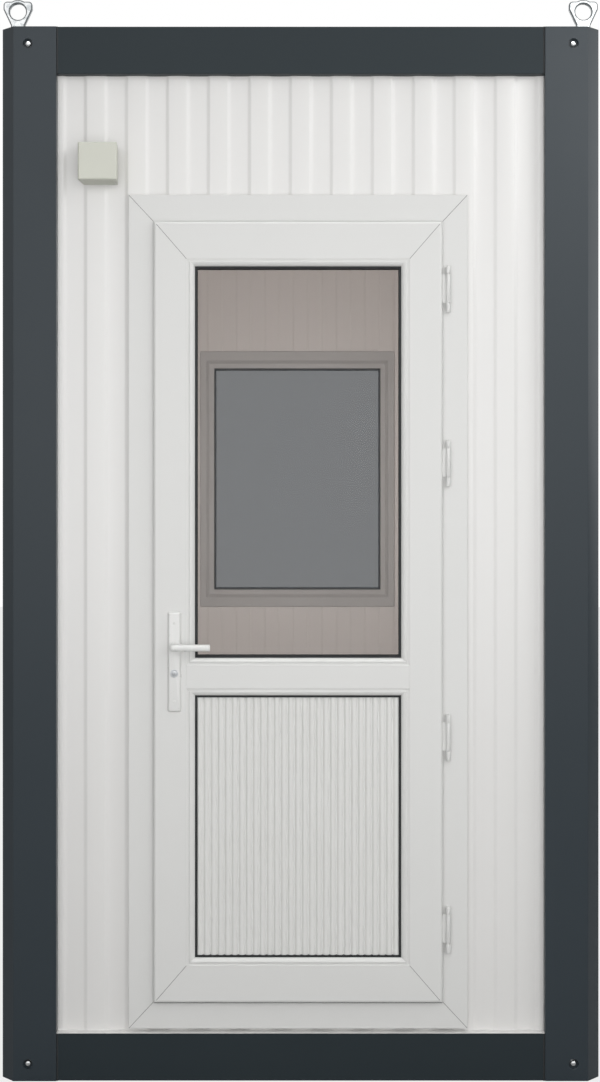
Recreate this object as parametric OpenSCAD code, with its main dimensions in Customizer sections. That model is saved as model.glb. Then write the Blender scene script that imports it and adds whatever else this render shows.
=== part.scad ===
// Small steel-framed site cabin: four chamfered corner posts, profiled wall panels,
// an outward opening door with lever handle and a fixed back window.
// Millimetres, +Z up, the door faces -Y, the origin is on the ground at the centre of the frame.

/* [Cabin] */
// Width over the corner posts
cabin_w = 1400; // [1300:10:2400]
// Depth over the corner posts
cabin_d = 1200; // [1000:10:2400]
// Height of the frame without the lifting eyes
cabin_h = 2460; // [2300:10:2800]

/* [Steel frame] */
// Width of each face of a corner post
post_face = 130; // [115:1:160]
// Cut across the outer edge of a corner post
post_chamfer = 30; // [10:1:40]
// Thickness of the post head and foot plates
post_plate = 10; // [6:1:16]
// Distance from the frame face back to the wall crests, also the thickness of a post leg
wall_recess = 25; // [20:1:40]
// Height of the top and bottom beams
beam_h = 110; // [90:1:140]
// Set-back of the beams from the post faces
beam_back = 3; // [1:0.5:6]
// Steel thickness of the beams
beam_steel = 4; // [3:0.5:6]
// Width of the lower flange of a bottom beam
foot_flange = 60; // [40:1:75]
// Width of the top flange outside the gutter
gutter_rim = 44; // [30:1:50]
// Depth of the gutter below the top flange
gutter_drop = 26; // [15:1:40]
// Width of the gutter ledge that carries the roof sheet
gutter_ledge = 26; // [15:1:35]
// Diameter of the bolt pockets in the post ends
pocket_d = 23; // [14:0.5:30]
// Depth of the bolt pockets
pocket_deep = 8; // [4:0.5:14]
// Distance of a bolt pocket from the outer side of its post
pocket_side = 63.5; // [50:0.5:75]
// Distance of a bolt pocket from the end of its post
pocket_end = 40; // [25:0.5:60]

/* [Lifting eyes] */
// Height of an eye above its post
eye_h = 73; // [70:1:90]
// Diameter of the eye hole
eye_bore = 38; // [25:0.5:42]
// Height of the middle of the eye hole
eye_bore_up = 45; // [40:0.5:48]
// Thickness of the eye plate
eye_t = 14; // [8:0.5:20]
// Width of the eye over its two ears
eye_w = 68; // [62:1:70]
// Radius of an ear
eye_ear = 9; // [4:0.5:10]
// Height of the middle of an ear
eye_ear_up = 60; // [55:0.5:62]
// Height of the widest place of the flanks
eye_flank_up = 50; // [40:0.5:54]
// Width of the eye foot
eye_foot = 33; // [24:1:38]
// Height of the upright foot below the flanks
eye_foot_up = 13; // [8:0.5:20]
// Distance of an eye from the side of the cabin
eye_side = 34; // [34:1:60]
// Distance of an eye from the front or back of the cabin
eye_back = 45; // [35:1:80]
// Radius of the collar under an eye
eye_collar = 19; // [16:0.5:22]
// Height of the collar under an eye
eye_collar_h = 6; // [3:0.5:10]

/* [Walls] */
// Thickness of a wall panel at its crests
wall_t = 60; // [45:1:75]
// Pitch of the outer profile
profile_pitch = 96.2; // [60:0.1:140]
// Flat width of a crest
profile_crest = 40; // [20:0.5:50]
// Width of a slope
profile_slope = 8; // [2:0.5:9]
// Depth of the outer profile
profile_deep = 10; // [4:0.5:20]
// Pitch of the inner lining
lining_pitch = 85.6; // [50:0.1:120]
// Flat width of a lining band
lining_band = 39; // [15:0.5:45]
// Width of a lining slope
lining_slope = 4; // [1:0.5:5]
// Depth of the inner lining profile
lining_deep = 1.5; // [0.5:0.1:4]

/* [Floor and roof] */
// Thickness of the floor board
floor_t = 22; // [15:1:28]
// Height of the floor above the bottom beams
floor_up = 10; // [4:1:15]
// Width of a floor joist
joist_w = 60; // [40:1:100]
// Distance between floor joists
joist_pitch = 340; // [250:1:400]
// Thickness of the sheets under the floor
under_t = 2; // [1:0.5:3]
// Set-back of the sheets under the floor
under_up = 1; // [0.5:0.5:2]
// Thickness of the ceiling panel
ceiling_t = 12; // [8:1:30]
// Seat of the ceiling panel on the top beams
ceiling_seat = 15; // [8:1:30]
// Thickness of the roof sheet
roof_t = 3; // [2:0.5:5]
// Height of a roof seam
seam_h = 18; // [8:1:20]
// Thickness of a roof seam
seam_t = 6; // [4:0.5:12]
// Gap round loosely laid boards and sheets
lay_gap = 1; // [0.3:0.1:3]

/* [Door frame] */
// Width of the door frame
door_w = 793; // [700:1:900]
// Height of the wall between the door frame and the top beam
door_over = 281; // [200:1:400]
// Offset of the door from the middle of the front
door_x = -6; // [-60:1:60]
// Height of the door frame above the bottom beam
door_up = 9; // [4:1:30]
// Thickness of the frame flange on the wall
frame_flange_t = 13; // [8:0.5:16]
// Overlap of the frame flange on the wall
frame_flange = 20; // [15:1:28]
// Gap between the frame and the wall cut-out
cut_gap = 2; // [0.5:0.5:4]
// Thickness of the stop behind the leaf
frame_stop_t = 14; // [8:0.5:20]

/* [Door leaf] */
// Distance from the frame side to the leaf side
leaf_inset_x = 59.3; // [45:0.1:70]
// Distance from the frame top or bottom to the leaf
leaf_inset_z = 64; // [50:0.1:75]
// Thickness of the leaf flange in front of the frame
leaf_flange_t = 11; // [8:0.5:16]
// Width of the leaf flange in front of the frame
leaf_flange = 20; // [16:0.5:26]
// Edge radius of the leaf front
leaf_edge = 7; // [1:0.5:8]
// Gap between the leaf flange and the frame face
leaf_gap = 5; // [5:0.5:8]
// Gap between the leaf body and the frame jamb
jamb_gap = 12; // [10:0.5:15]
// Gap between the leaf back and the frame stop
stop_gap = 6; // [5:0.5:8]
// Lap of the frame stop behind the leaf
stop_lap = 5; // [3:0.5:8]
// Total depth of the leaf
leaf_t = 74; // [60:1:76]
// Flat face width of the stiles
stile_face = 77.5; // [70:0.5:100]
// Flat face width of the top and bottom rails
rail_face = 88; // [70:0.5:110]
// Width of the glazing lip on the stiles
lip_x = 19; // [12:0.5:25]
// Width of the glazing lip on the rails
lip_z = 16.3; // [12:0.5:25]
// Depth of the groove between the face and the glazing bead
lip_step = 2.5; // [1:0.5:4]
// Share of the lip that the groove takes
lip_groove = 0.3; // [0.1:0.05:0.5]
// Fall of the glazing bead towards the glass
lip_fall = 6.5; // [3:0.5:10]
// Swell of the glazing bead
bead_rise = 4; // [1:0.5:4.5]
// Flat face width of the middle rail
middle_face = 55; // [40:1:120]
// Height of the middle rail above the bottom of the leaf
middle_up = 760; // [600:5:1000]
// Width of the glazing gaskets
gasket_w = 5; // [3:0.5:8]
// Depth of the glazing gaskets
gasket_t = 28; // [26:0.5:36]
// Set-back of the gaskets from the lip edge
gasket_back = 1; // [0:0.5:4]
// Thickness of the glass and of the lower panel
pane_t = 24; // [16:0.5:25]
// Set-back of the glass and of the lower panel from the gaskets
pane_back = 2; // [0.5:0.5:4]
// Pitch of the grooves in the lower panel
groove_pitch = 16.4; // [10:0.1:30]
// Width of a panel groove
groove_w = 3; // [1:0.1:6]
// Depth of a panel groove
groove_deep = 1.5; // [0.5:0.1:4]

/* [Door hinges] */
// Distance of the hinge axis outside the leaf
hinge_out = 12.8; // [11:0.1:18]
// Distance of the hinge axis behind the leaf face
hinge_back = 4; // [2:0.5:5]
// Radius of a hinge barrel
hinge_r = 5.2; // [4.8:0.1:7]
// Radius of a hinge pin
hinge_pin_r = 3; // [2:0.1:3.5]
// Clearance of a hinge pin in its knuckle
hinge_fit = 0.1; // [0.05:0.05:0.3]
// Gap between the knuckles
knuckle_gap = 0.5; // [0.3:0.1:1]
// Length of an upper knuckle
knuckle_top = 16; // [10:0.5:25]
// Length of a middle knuckle
knuckle_mid = 67; // [40:0.5:80]
// Length of a lower knuckle
knuckle_low = 21; // [10:0.5:25]
// Width of the hinge foot on the frame
hinge_foot = 9; // [8:0.5:12]
// Thickness of the hinge tab on the leaf
hinge_tab = 3; // [2:0.5:3.5]
// Distance from the back of the leaf flange to the hinge tab
tab_back = 0.5; // [0:0.5:1]
// Heights of the hinges as shares of the leaf height
hinge_at = [0.093, 0.339, 0.69, 0.913]; // [0.05:0.001:0.95]

/* [Handle] */
// Distance of the lever axis from the free edge of the leaf
lever_in = 49.4; // [46:0.1:60]
// Height of the lever axis above the bottom of the leaf
lever_up = 832; // [800:1:900]
// Width of a handle plate
plate_w = 31.5; // [26:0.5:33]
// Length of a handle plate above the lever axis
plate_over = 80; // [60:1:90]
// Length of a handle plate below the lever axis
plate_under = 153; // [120:1:160]
// Thickness of a handle plate
plate_t = 8; // [5:0.5:12]
// Corner radius of a handle plate
plate_r = 5; // [2:0.5:12]
// Radius of the lever neck
neck_r = 8.5; // [8:0.5:11]
// Radius of the lever bar
bar_r = 8; // [5:0.5:8]
// Edge chamfer of the lever end
bar_edge = 1.5; // [0.5:0.5:3]
// Reach of the lever bar from its axis
bar_reach = 85; // [70:1:140]
// Distance from the leaf to the middle of the lever bar
bar_off = 44; // [38:1:55]
// Reach of the turn lever inside, to both sides of its axis
turn_reach = 24; // [18:0.5:30]
// Distance from the leaf to the middle of the turn lever
turn_off = 30; // [28:1:40]
// Gap between a lever neck and its plate
neck_gap = 0.3; // [0.3:0.1:0.6]
// Radius of the spindle through the leaf
spindle_r = 4; // [3:0.5:5]
// Clearance round the spindle
spindle_fit = 0.5; // [0.3:0.1:1]
// Radius of the lock cylinder
lock_r = 9.3; // [7:0.1:11]
// Distance of the lock cylinder below the lever axis
lock_under = 62.7; // [50:0.1:92]
// Stand of the lock cylinder in front of its plates
lock_out = 3; // [1:0.5:6]
// Clearance round the lock cylinder
lock_fit = 0.1; // [0.05:0.05:0.3]

/* [Back window] */
// Width of the window frame in the wall
window_w = 583; // [400:1:700]
// Height of the window frame in the wall
window_h = 766; // [500:1:1000]
// Offset of the window from the middle of the back
window_x = -10; // [-60:1:60]
// Height of the middle of the window
window_z = 1405; // [1200:5:1500]
// Overlap of the outer window flange on the wall
window_flange = 22; // [15:1:40]
// Thickness of the outer window flange
window_flange_t = 12; // [8:0.5:18]
// Face width of the window frame at the sides
window_band_x = 21; // [18:0.5:30]
// Face width of the window frame at top and bottom
window_band_z = 30; // [18:0.5:40]
// Lap of the window frame in front of the sash
window_lap = 12; // [6:0.5:18]
// Depth of that lap
window_lap_t = 24; // [14:0.5:30]
// Stand of the window frame inside the lining
window_proud = 3; // [1:0.5:8]
// Depth of the sash face behind the window frame
sash_sink = 8; // [2:0.5:12]
// Width of the slope round the sash face
sash_slope = 7; // [3:0.5:12]
// Face width of the sash with its slope
sash_band = 21; // [18:0.5:40]
// Set-back of the window glass from the window frame
window_pane_back = 14; // [12:0.5:20]

/* [Vent hood] */
// Width of the hood
hood_w = 90; // [60:1:140]
// Height of the hood
hood_h = 87; // [60:1:140]
// Depth of the hood in front of the wall
hood_d = 73; // [40:1:90]
// Distance from the left side of the cabin to the middle of the hood
hood_in = 231; // [185:1:260]
// Distance from the top beam down to the middle of the hood
hood_down = 212; // [60:1:230]
// Narrowing of each side of the hood towards the wall
hood_taper = 5; // [1:0.5:10]
// Edge chamfer of the hood
hood_edge = 3; // [1:0.5:8]
// Rim round the air slots under the hood
hood_rim = 6; // [3:0.5:12]
// Number of air slots
hood_slots = 6; // [3:1:7]
// Width of an air slot
hood_slot_w = 3; // [2:0.5:3.5]
// Depth of an air slot
hood_slot_deep = 25; // [5:1:40]

/* [Hidden] */
$fn = 48;
eps = 0.01;
half_w = cabin_w / 2;
half_d = cabin_d / 2;
wall_y = -half_d + wall_recess;
wall_half_w = half_w - wall_recess;
wall_half_d = half_d - wall_recess - wall_t;
wall_z0 = beam_h;
wall_z1 = cabin_h - beam_h;
beam_depth = wall_recess + wall_t;
beam_web = beam_back + beam_steel;
room_half_w = half_w - beam_depth;
room_half_d = half_d - beam_depth;
floor_z = beam_h + floor_up;
joist_z1 = floor_z - floor_t;
ledge_z = cabin_h - gutter_drop;
profile_low = profile_pitch - profile_crest - 2 * profile_slope;
lining_low = lining_pitch - lining_band - 2 * lining_slope;

// Door planes, front to back
frame_y = wall_y - frame_flange_t;
leaf_back_y = frame_y - leaf_gap;
leaf_y = leaf_back_y - leaf_flange_t;
leaf_end_y = leaf_y + leaf_t;
stop_y = leaf_end_y + stop_gap;
frame_end_y = stop_y + frame_stop_t;

// Door outlines as [x0, x1, z0, z1]
frame_box = [door_x - door_w / 2, door_x + door_w / 2, wall_z0 + door_up, wall_z1 - door_over];
leaf_box = [frame_box[0] + leaf_inset_x, frame_box[1] - leaf_inset_x,
            frame_box[2] + leaf_inset_z, frame_box[3] - leaf_inset_z];
jamb_x = leaf_inset_x + leaf_flange - jamb_gap;
jamb_z = leaf_inset_z + leaf_flange - jamb_gap;
stop_w = jamb_gap + stop_lap;
cut_in = frame_flange - cut_gap;
door_cut = [frame_box[0] + cut_in, frame_box[1] - cut_in, frame_box[2] + cut_in, frame_box[3] - cut_in];
frame_corner = [[jamb_x, jamb_z], [jamb_x + stop_w, jamb_z + stop_w]];
leaf_corner = [[leaf_edge, leaf_edge], [stile_face, rail_face], [stile_face + lip_x, rail_face + lip_z]];

// Openings in the leaf
open_x0 = leaf_box[0] + stile_face + lip_x;
open_x1 = leaf_box[1] - stile_face - lip_x;
middle_z = leaf_box[2] + middle_up;
middle_half = middle_face / 2 + lip_z;
glass_box = [open_x0, open_x1, middle_z + middle_half, leaf_box[3] - rail_face - lip_z];
panel_box = [open_x0, open_x1, leaf_box[2] + rail_face + lip_z, middle_z - middle_half];
lip_y0 = leaf_y + lip_step;
lip_y1 = lip_y0 + lip_fall;
gasket_y = lip_y1 + gasket_back;
pane_y = gasket_y + pane_back;
middle_outline = [[open_x0, middle_z - middle_half], [open_x0 - lip_x, middle_z - middle_face / 2],
                  [open_x0 - lip_x, middle_z + middle_face / 2], [open_x0, middle_z + middle_half],
                  [open_x1, middle_z + middle_half], [open_x1 + lip_x, middle_z + middle_face / 2],
                  [open_x1 + lip_x, middle_z - middle_face / 2], [open_x1, middle_z - middle_half]];

// Hinge and handle places
hinge_x = leaf_box[1] + hinge_out;
hinge_y = leaf_y + hinge_back;
hinge_len = knuckle_low + knuckle_mid + knuckle_top + 2 * knuckle_gap;
hinge_z = [for (share = hinge_at) leaf_box[2] + share * (leaf_box[3] - leaf_box[2]) - hinge_len / 2];
lever_x = leaf_box[0] + lever_in;
lever_z = leaf_box[2] + lever_up;
plate_y = leaf_y - plate_t;
plate_end_y = leaf_end_y + plate_t;

// Window outlines as [x0, x1, z0, z1] and planes, outside to inside
window_box = [window_x - window_w / 2, window_x + window_w / 2,
              window_z - window_h / 2, window_z + window_h / 2];
window_cut = grown(window_box, cut_gap);
sash_box = [window_box[0] + window_band_x, window_box[1] - window_band_x,
            window_box[2] + window_band_z, window_box[3] - window_band_z];
sash_open = grown(sash_box, -sash_band);
window_wall_y = half_d - wall_recess;
window_out_y = window_wall_y + window_flange_t;
window_lap_y = window_out_y - window_lap_t;
window_in_y = window_wall_y - wall_t - window_proud;
sash_in_y = window_in_y + sash_sink;
window_pane_y = window_in_y + window_pane_back;
hood_x = hood_in - half_w;
hood_y = wall_y - hood_d;
hood_z = wall_z1 - hood_down;

// A box [x0, x1, z0, z1] made larger on all sides
function grown(box, by) = [box[0] - by, box[1] + by, box[2] - by, box[3] + by];
// The corners of a box
function box_points(box) = [[box[0], box[2]], [box[1], box[2]], [box[1], box[3]], [box[0], box[3]]];
// A list in the opposite order
function reversed(list) = [for (i = [len(list) - 1:-1:0]) list[i]];
// Points with their two coordinates exchanged
function swapped(points) = [for (p = points) [p[1], p[0]]];
// Points mirrored on the first coordinate
function flipped(points) = [for (p = points) [-p[0], p[1]]];
// The outline of a left member of a mitred frame
function left_outline(box, corner) = concat(
  [[box[0], box[2]]], [for (c = corner) [box[0] + c[0], box[2] + c[1]]],
  [for (c = reversed(corner)) [box[0] + c[0], box[3] - c[1]]], [[box[0], box[3]]]);
// The outline of a bottom member of a mitred frame
function bottom_outline(box, corner) = concat(
  [[box[0], box[2]]], [for (c = corner) [box[0] + c[0], box[2] + c[1]]],
  [for (c = reversed(corner)) [box[1] - c[0], box[2] + c[1]]], [[box[1], box[2]]]);
// The same outlines on the opposite side of the box
function right_outline(box, corner) = [for (p = left_outline(box, corner)) [box[0] + box[1] - p[0], p[1]]];
function top_outline(box, corner) = [for (p = bottom_outline(box, corner)) [p[0], box[2] + box[3] - p[1]]];
// A rectangle with round corners
function plate_points(x0, x1, z0, z1, r) = [
  for (c = [[x1 - r, z1 - r, 0], [x0 + r, z1 - r, 90], [x0 + r, z0 + r, 180], [x1 - r, z0 + r, 270]])
    for (a = [0:15:90]) [c[0] + r * cos(c[2] + a), c[1] + r * sin(c[2] + a)]];
// A trapezoid wave from -half to beyond half, crests at multiples of the pitch
function wave(half, pitch, crest, slope, top, low) = [
  for (i = [-ceil(half / pitch) - 1:ceil(half / pitch) + 1])
    for (p = [[-crest / 2 - slope, low], [-crest / 2, top], [crest / 2, top], [crest / 2 + slope, low]])
      [i * pitch + p[0], p[1]]];
// The section of the door frame, u from the frame edge
function frame_section(jamb) = [
  [0, frame_y], [jamb, frame_y], [jamb, stop_y], [jamb + stop_w, stop_y],
  [jamb + stop_w, frame_end_y], [frame_flange, frame_end_y], [frame_flange, wall_y], [0, wall_y]];
// The groove and the swelling glazing bead beside a flat face that ends at u
function lip_section(u, lip) = concat([[u, leaf_y], [u, lip_y0]], [
  for (a = [0:30:180]) let (share = (1 - cos(a)) / 2)
    [u + lip * (lip_groove + (1 - lip_groove) * share), lip_y0 + lip_fall * share - bead_rise * sin(a)]]);
// The section of the leaf, u from the leaf edge
function leaf_section(face, lip) = concat(
  [for (a = [0:18:90]) [leaf_edge * (1 - cos(a)), leaf_y + leaf_edge * (1 - sin(a))]], lip_section(face, lip),
  [[face + lip, leaf_end_y], [leaf_flange, leaf_end_y], [leaf_flange, leaf_back_y], [0, leaf_back_y]]);
// The section of the sash with its slope, u from the sash edge
sash_section = [[0, window_in_y], [sash_slope, sash_in_y], [sash_band, sash_in_y], [sash_band, window_lap_y],
                [0, window_lap_y]];

// A prism of an outline in X and Z between two depths
module prism(points, y0, y1) {
  translate([0, y1, 0]) rotate([90, 0, 0]) linear_extrude(y1 - y0) polygon(points);
}

// A ring between two outlines
module ring(outer, inner, y0, y1) {
  difference() {
    prism(box_points(outer), y0, y1);
    prism(box_points(inner), y0 - eps, y1 + eps);
  }
}

// A section of points [u, y] carried upright
module upright(section, x, z0, z1) {
  translate([x, 0, z0]) linear_extrude(z1 - z0) polygon(section);
}

// A section of points [u, y] carried along X, u upwards
module level(section, z, x0, x1) {
  translate([x0, 0, z]) rotate([90, 0, 90]) linear_extrude(x1 - x0) polygon(swapped(section));
}

// The four corners of the cabin, as placed copies of the front left one
module at_corners() {
  for (sx = [0, 1]) for (sy = [0, 1]) mirror([sx, 0, 0]) mirror([0, sy, 0])
    translate([-half_w, -half_d, 0]) children();
}

// The front left post with its corner at the origin, bolt pockets in its front face
module post() {
  difference() {
    linear_extrude(cabin_h) polygon([
      [post_chamfer, 0], [post_face, 0], [post_face, wall_recess], [wall_recess, wall_recess],
      [wall_recess, post_face], [0, post_face], [0, post_chamfer]]);
    for (z = [pocket_end, cabin_h - pocket_end])
      translate([pocket_side, -eps, z]) rotate([-90, 0, 0]) cylinder(d = pocket_d, h = pocket_deep + eps);
  }
}

// A head or foot plate inside the legs of a post
module post_plate_at(z) {
  side = post_face - wall_recess;
  translate([wall_recess, wall_recess, z]) cube([side, side, post_plate]);
}

// A lifting eye in the X-Z plane on its collar, foot at the origin
module eye() {
  ear_x = eye_w / 2 - eye_ear;
  difference() {
    union() {
      translate([0, eye_t / 2, 0]) rotate([90, 0, 0]) linear_extrude(eye_t) polygon([
        [-eye_foot / 2, 0], [eye_foot / 2, 0], [eye_foot / 2, eye_foot_up], [eye_w / 2, eye_flank_up],
        [eye_w / 2, eye_ear_up], [ear_x, eye_ear_up + eye_ear], [-ear_x, eye_ear_up + eye_ear],
        [-eye_w / 2, eye_ear_up], [-eye_w / 2, eye_flank_up], [-eye_foot / 2, eye_foot_up]]);
      for (s = [-1, 1]) translate([s * ear_x, eye_t / 2, eye_ear_up]) rotate([90, 0, 0])
        cylinder(r = eye_ear, h = eye_t);
      translate([0, eye_t / 2, eye_bore_up]) rotate([90, 0, 0]) cylinder(r = eye_h - eye_bore_up, h = eye_t);
      cylinder(r = eye_collar, h = eye_collar_h);
    }
    translate([0, eye_t, eye_bore_up]) rotate([90, 0, 0]) cylinder(d = eye_bore, h = 2 * eye_t);
  }
}

// A folded top beam with its gutter, set back from the post faces on the plane y = 0
module top_beam(half) {
  translate([-half, 0, wall_z1]) rotate([90, 0, 90]) linear_extrude(2 * half) polygon([
    [beam_back, 0], [beam_depth, 0], [beam_depth, beam_steel], [beam_web, beam_steel],
    [beam_web, beam_h - beam_steel], [gutter_rim - beam_steel, beam_h - beam_steel],
    [gutter_rim - beam_steel, beam_h - gutter_drop - beam_steel],
    [gutter_rim + gutter_ledge, beam_h - gutter_drop - beam_steel],
    [gutter_rim + gutter_ledge, beam_h - gutter_drop], [gutter_rim, beam_h - gutter_drop],
    [gutter_rim, beam_h], [beam_back, beam_h]]);
}

// A folded bottom beam, set back from the post faces on the plane y = 0
module bottom_beam(half) {
  translate([-half, 0, 0]) rotate([90, 0, 90]) linear_extrude(2 * half) polygon([
    [beam_back, 0], [foot_flange, 0], [foot_flange, beam_steel], [beam_web, beam_steel],
    [beam_web, beam_h - beam_steel], [beam_depth, beam_h - beam_steel], [beam_depth, beam_h],
    [beam_back, beam_h]]);
}

// A piece of profiled wall panel in front wall position, crests on the plane y = 0
module wall(half, x0, x1, z0, z1) {
  outer = wave(half, profile_pitch, profile_crest, profile_slope, 0, profile_deep);
  inner = wave(half, lining_pitch, lining_band, lining_slope, wall_t, wall_t - lining_deep);
  translate([0, 0, z0]) linear_extrude(z1 - z0) intersection() {
    polygon(concat(outer, reversed(inner)));
    translate([x0, -eps]) square([x1 - x0, wall_t + 2 * eps]);
  }
}

module front_wall(x0, x1, z0, z1) {
  translate([0, wall_y, 0]) wall(wall_half_w, x0, x1, z0, z1);
}

module back_wall(x0, x1, z0, z1) {
  rotate([0, 0, 180]) translate([0, wall_y, 0]) wall(wall_half_w, -x1, -x0, z0, z1);
}

module corner_post_front_left() color("#474c50") translate([-half_w, -half_d, 0]) post();
module corner_post_front_right() color("#474c50") mirror([1, 0, 0]) translate([-half_w, -half_d, 0]) post();
module corner_post_back_left() color("#474c50") mirror([0, 1, 0]) translate([-half_w, -half_d, 0]) post();
module corner_post_back_right() color("#474c50") rotate([0, 0, 180]) translate([-half_w, -half_d, 0]) post();
module post_head_plates() color("#474c50") at_corners() post_plate_at(cabin_h - post_plate);
module post_foot_plates() color("#474c50") at_corners() post_plate_at(0);
module lifting_eyes() color("#b9bcbd") at_corners() translate([eye_side, eye_back, cabin_h]) eye();

module top_beam_front() color("#3a4145") translate([0, -half_d, 0]) top_beam(half_w - post_face);
module top_beam_back() color("#3a4145") rotate([0, 0, 180]) translate([0, -half_d, 0])
  top_beam(half_w - post_face);
module top_beam_left() color("#3a4145") rotate([0, 0, -90]) translate([0, -half_w, 0])
  top_beam(half_d - post_face);
module top_beam_right() color("#3a4145") rotate([0, 0, 90]) translate([0, -half_w, 0])
  top_beam(half_d - post_face);
module bottom_beam_front() color("#3a4145") translate([0, -half_d, 0]) bottom_beam(half_w - post_face);
module bottom_beam_back() color("#3a4145") rotate([0, 0, 180]) translate([0, -half_d, 0])
  bottom_beam(half_w - post_face);
module bottom_beam_left() color("#3a4145") rotate([0, 0, -90]) translate([0, -half_w, 0])
  bottom_beam(half_d - post_face);
module bottom_beam_right() color("#3a4145") rotate([0, 0, 90]) translate([0, -half_w, 0])
  bottom_beam(half_d - post_face);

module front_wall_left() color("#e6e5e3") front_wall(-wall_half_w, door_cut[0], wall_z0, wall_z1);
module front_wall_right() color("#e6e5e3") front_wall(door_cut[1], wall_half_w, wall_z0, wall_z1);
module front_wall_head() color("#e6e5e3") front_wall(door_cut[0], door_cut[1], door_cut[3], wall_z1);
module front_wall_sill() color("#e6e5e3") front_wall(door_cut[0], door_cut[1], wall_z0, door_cut[2]);
module back_wall_left() color("#e6e5e3") back_wall(-wall_half_w, window_cut[0], wall_z0, wall_z1);
module back_wall_right() color("#e6e5e3") back_wall(window_cut[1], wall_half_w, wall_z0, wall_z1);
module back_wall_head() color("#e6e5e3") back_wall(window_cut[0], window_cut[1], window_cut[3], wall_z1);
module back_wall_sill() color("#e6e5e3") back_wall(window_cut[0], window_cut[1], wall_z0, window_cut[2]);
module left_wall() color("#e6e5e3") rotate([0, 0, -90]) translate([0, -wall_half_w, 0])
  wall(wall_half_d, -wall_half_d, wall_half_d, wall_z0, wall_z1);
module right_wall() color("#e6e5e3") rotate([0, 0, 90]) translate([0, -wall_half_w, 0])
  wall(wall_half_d, -wall_half_d, wall_half_d, wall_z0, wall_z1);

module floor_board() {
  w = room_half_w - lay_gap;
  d = room_half_d - lay_gap;
  color("#8d8f90") translate([-w, -d, joist_z1]) cube([2 * w, 2 * d, floor_t]);
}

module floor_joists() {
  reach = half_w - beam_web - lay_gap;
  span = half_w - foot_flange - lay_gap;
  color("#8c8f8e") for (y = [-joist_pitch, 0, joist_pitch])
    prism([[-span, 0], [span, 0], [span, beam_steel], [reach, beam_steel], [reach, joist_z1],
           [-reach, joist_z1], [-reach, beam_steel], [-span, beam_steel]], y - joist_w / 2, y + joist_w / 2);
}

module underfloor_sheets() {
  span = half_w - foot_flange - lay_gap;
  edge = half_d - foot_flange - lay_gap;
  bays = [[-edge, -joist_pitch - joist_w / 2], [joist_w / 2 - joist_pitch, -joist_w / 2],
          [joist_w / 2, joist_pitch - joist_w / 2], [joist_pitch + joist_w / 2, edge]];
  color("#a4a7a7") difference() {
    for (bay = bays) translate([-span, bay[0], under_up]) cube([2 * span, bay[1] - bay[0], under_t]);
    at_corners() cube([post_face + lay_gap, post_face + lay_gap, post_plate]);
  }
}

module ceiling_panel() {
  w = room_half_w + ceiling_seat;
  d = room_half_d + ceiling_seat;
  color("#e6e5e3") translate([-w, -d, wall_z1 + beam_steel]) cube([2 * w, 2 * d, ceiling_t]);
}

module roof_sheet() {
  w = half_w - gutter_rim - lay_gap;
  d = half_d - gutter_rim - lay_gap;
  color("#a9acab") union() {
    translate([-w, -d, ledge_z]) cube([2 * w, 2 * d, roof_t]);
    for (s = [-1, 1]) translate([s * w / 3 - seam_t / 2, -d, ledge_z]) cube([seam_t, 2 * d, roof_t + seam_h]);
  }
}

// Hood that widens towards its front, with air slots in its underside
module vent_hood() {
  front = hood_w / 2;
  slot_half = front - hood_taper - hood_rim;
  slots_y = hood_y + hood_edge + hood_rim;
  slot_pitch = (wall_y - hood_rim - slots_y) / hood_slots;
  color("#cccdc4") translate([hood_x, 0, hood_z - hood_h / 2]) difference() {
    intersection() {
      upright([[hood_taper - front, wall_y], [-front, hood_y + hood_edge], [hood_edge - front, hood_y],
               [front - hood_edge, hood_y], [front, hood_y + hood_edge], [front - hood_taper, wall_y]],
              0, 0, hood_h);
      level([[0, wall_y], [0, hood_y + hood_edge], [hood_edge, hood_y], [hood_h - hood_edge, hood_y],
             [hood_h, hood_y + hood_edge], [hood_h, wall_y]], 0, -front, front);
    }
    for (i = [0:hood_slots - 1])
      translate([-slot_half, slots_y + (i + 0.5) * slot_pitch - hood_slot_w / 2, -eps])
        cube([2 * slot_half, hood_slot_w, hood_slot_deep + eps]);
  }
}

module window_frame() {
  color("#dfdfdd") difference() {
    union() {
      prism(box_points(window_box), window_in_y, window_wall_y);
      prism(box_points(grown(window_box, window_flange)), window_wall_y, window_out_y);
    }
    prism(box_points(sash_box), window_in_y - eps, window_lap_y);
    prism(box_points(grown(sash_box, -window_lap)), window_in_y - eps, window_out_y + eps);
  }
}

// A sash of four mitred bars that slope down from the window frame
module window_sash() {
  corner = [[sash_band, sash_band]];
  y0 = window_in_y - eps;
  y1 = window_lap_y + eps;
  color("#dfdfdd") union() {
    intersection() {
      upright(sash_section, sash_box[0], sash_box[2], sash_box[3]);
      prism(left_outline(sash_box, corner), y0, y1);
    }
    intersection() {
      upright(flipped(sash_section), sash_box[1], sash_box[2], sash_box[3]);
      prism(right_outline(sash_box, corner), y0, y1);
    }
    intersection() {
      level(sash_section, sash_box[2], sash_box[0], sash_box[1]);
      prism(bottom_outline(sash_box, corner), y0, y1);
    }
    intersection() {
      level(flipped(sash_section), sash_box[3], sash_box[0], sash_box[1]);
      prism(top_outline(sash_box, corner), y0, y1);
    }
  }
}

module window_gasket() {
  color("#232323") ring(sash_open, grown(sash_open, -gasket_w), window_pane_y - pane_back,
                        window_pane_y - pane_back + gasket_t);
}

module window_glass() {
  color("#9fb0b8") prism(box_points(grown(sash_open, -gasket_w)), window_pane_y, window_pane_y + pane_t);
}

module door_frame_left() {
  color("#dfdfdd") intersection() {
    upright(frame_section(jamb_x), frame_box[0], frame_box[2], frame_box[3]);
    prism(left_outline(frame_box, frame_corner), frame_y - eps, frame_end_y + eps);
  }
}

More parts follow.
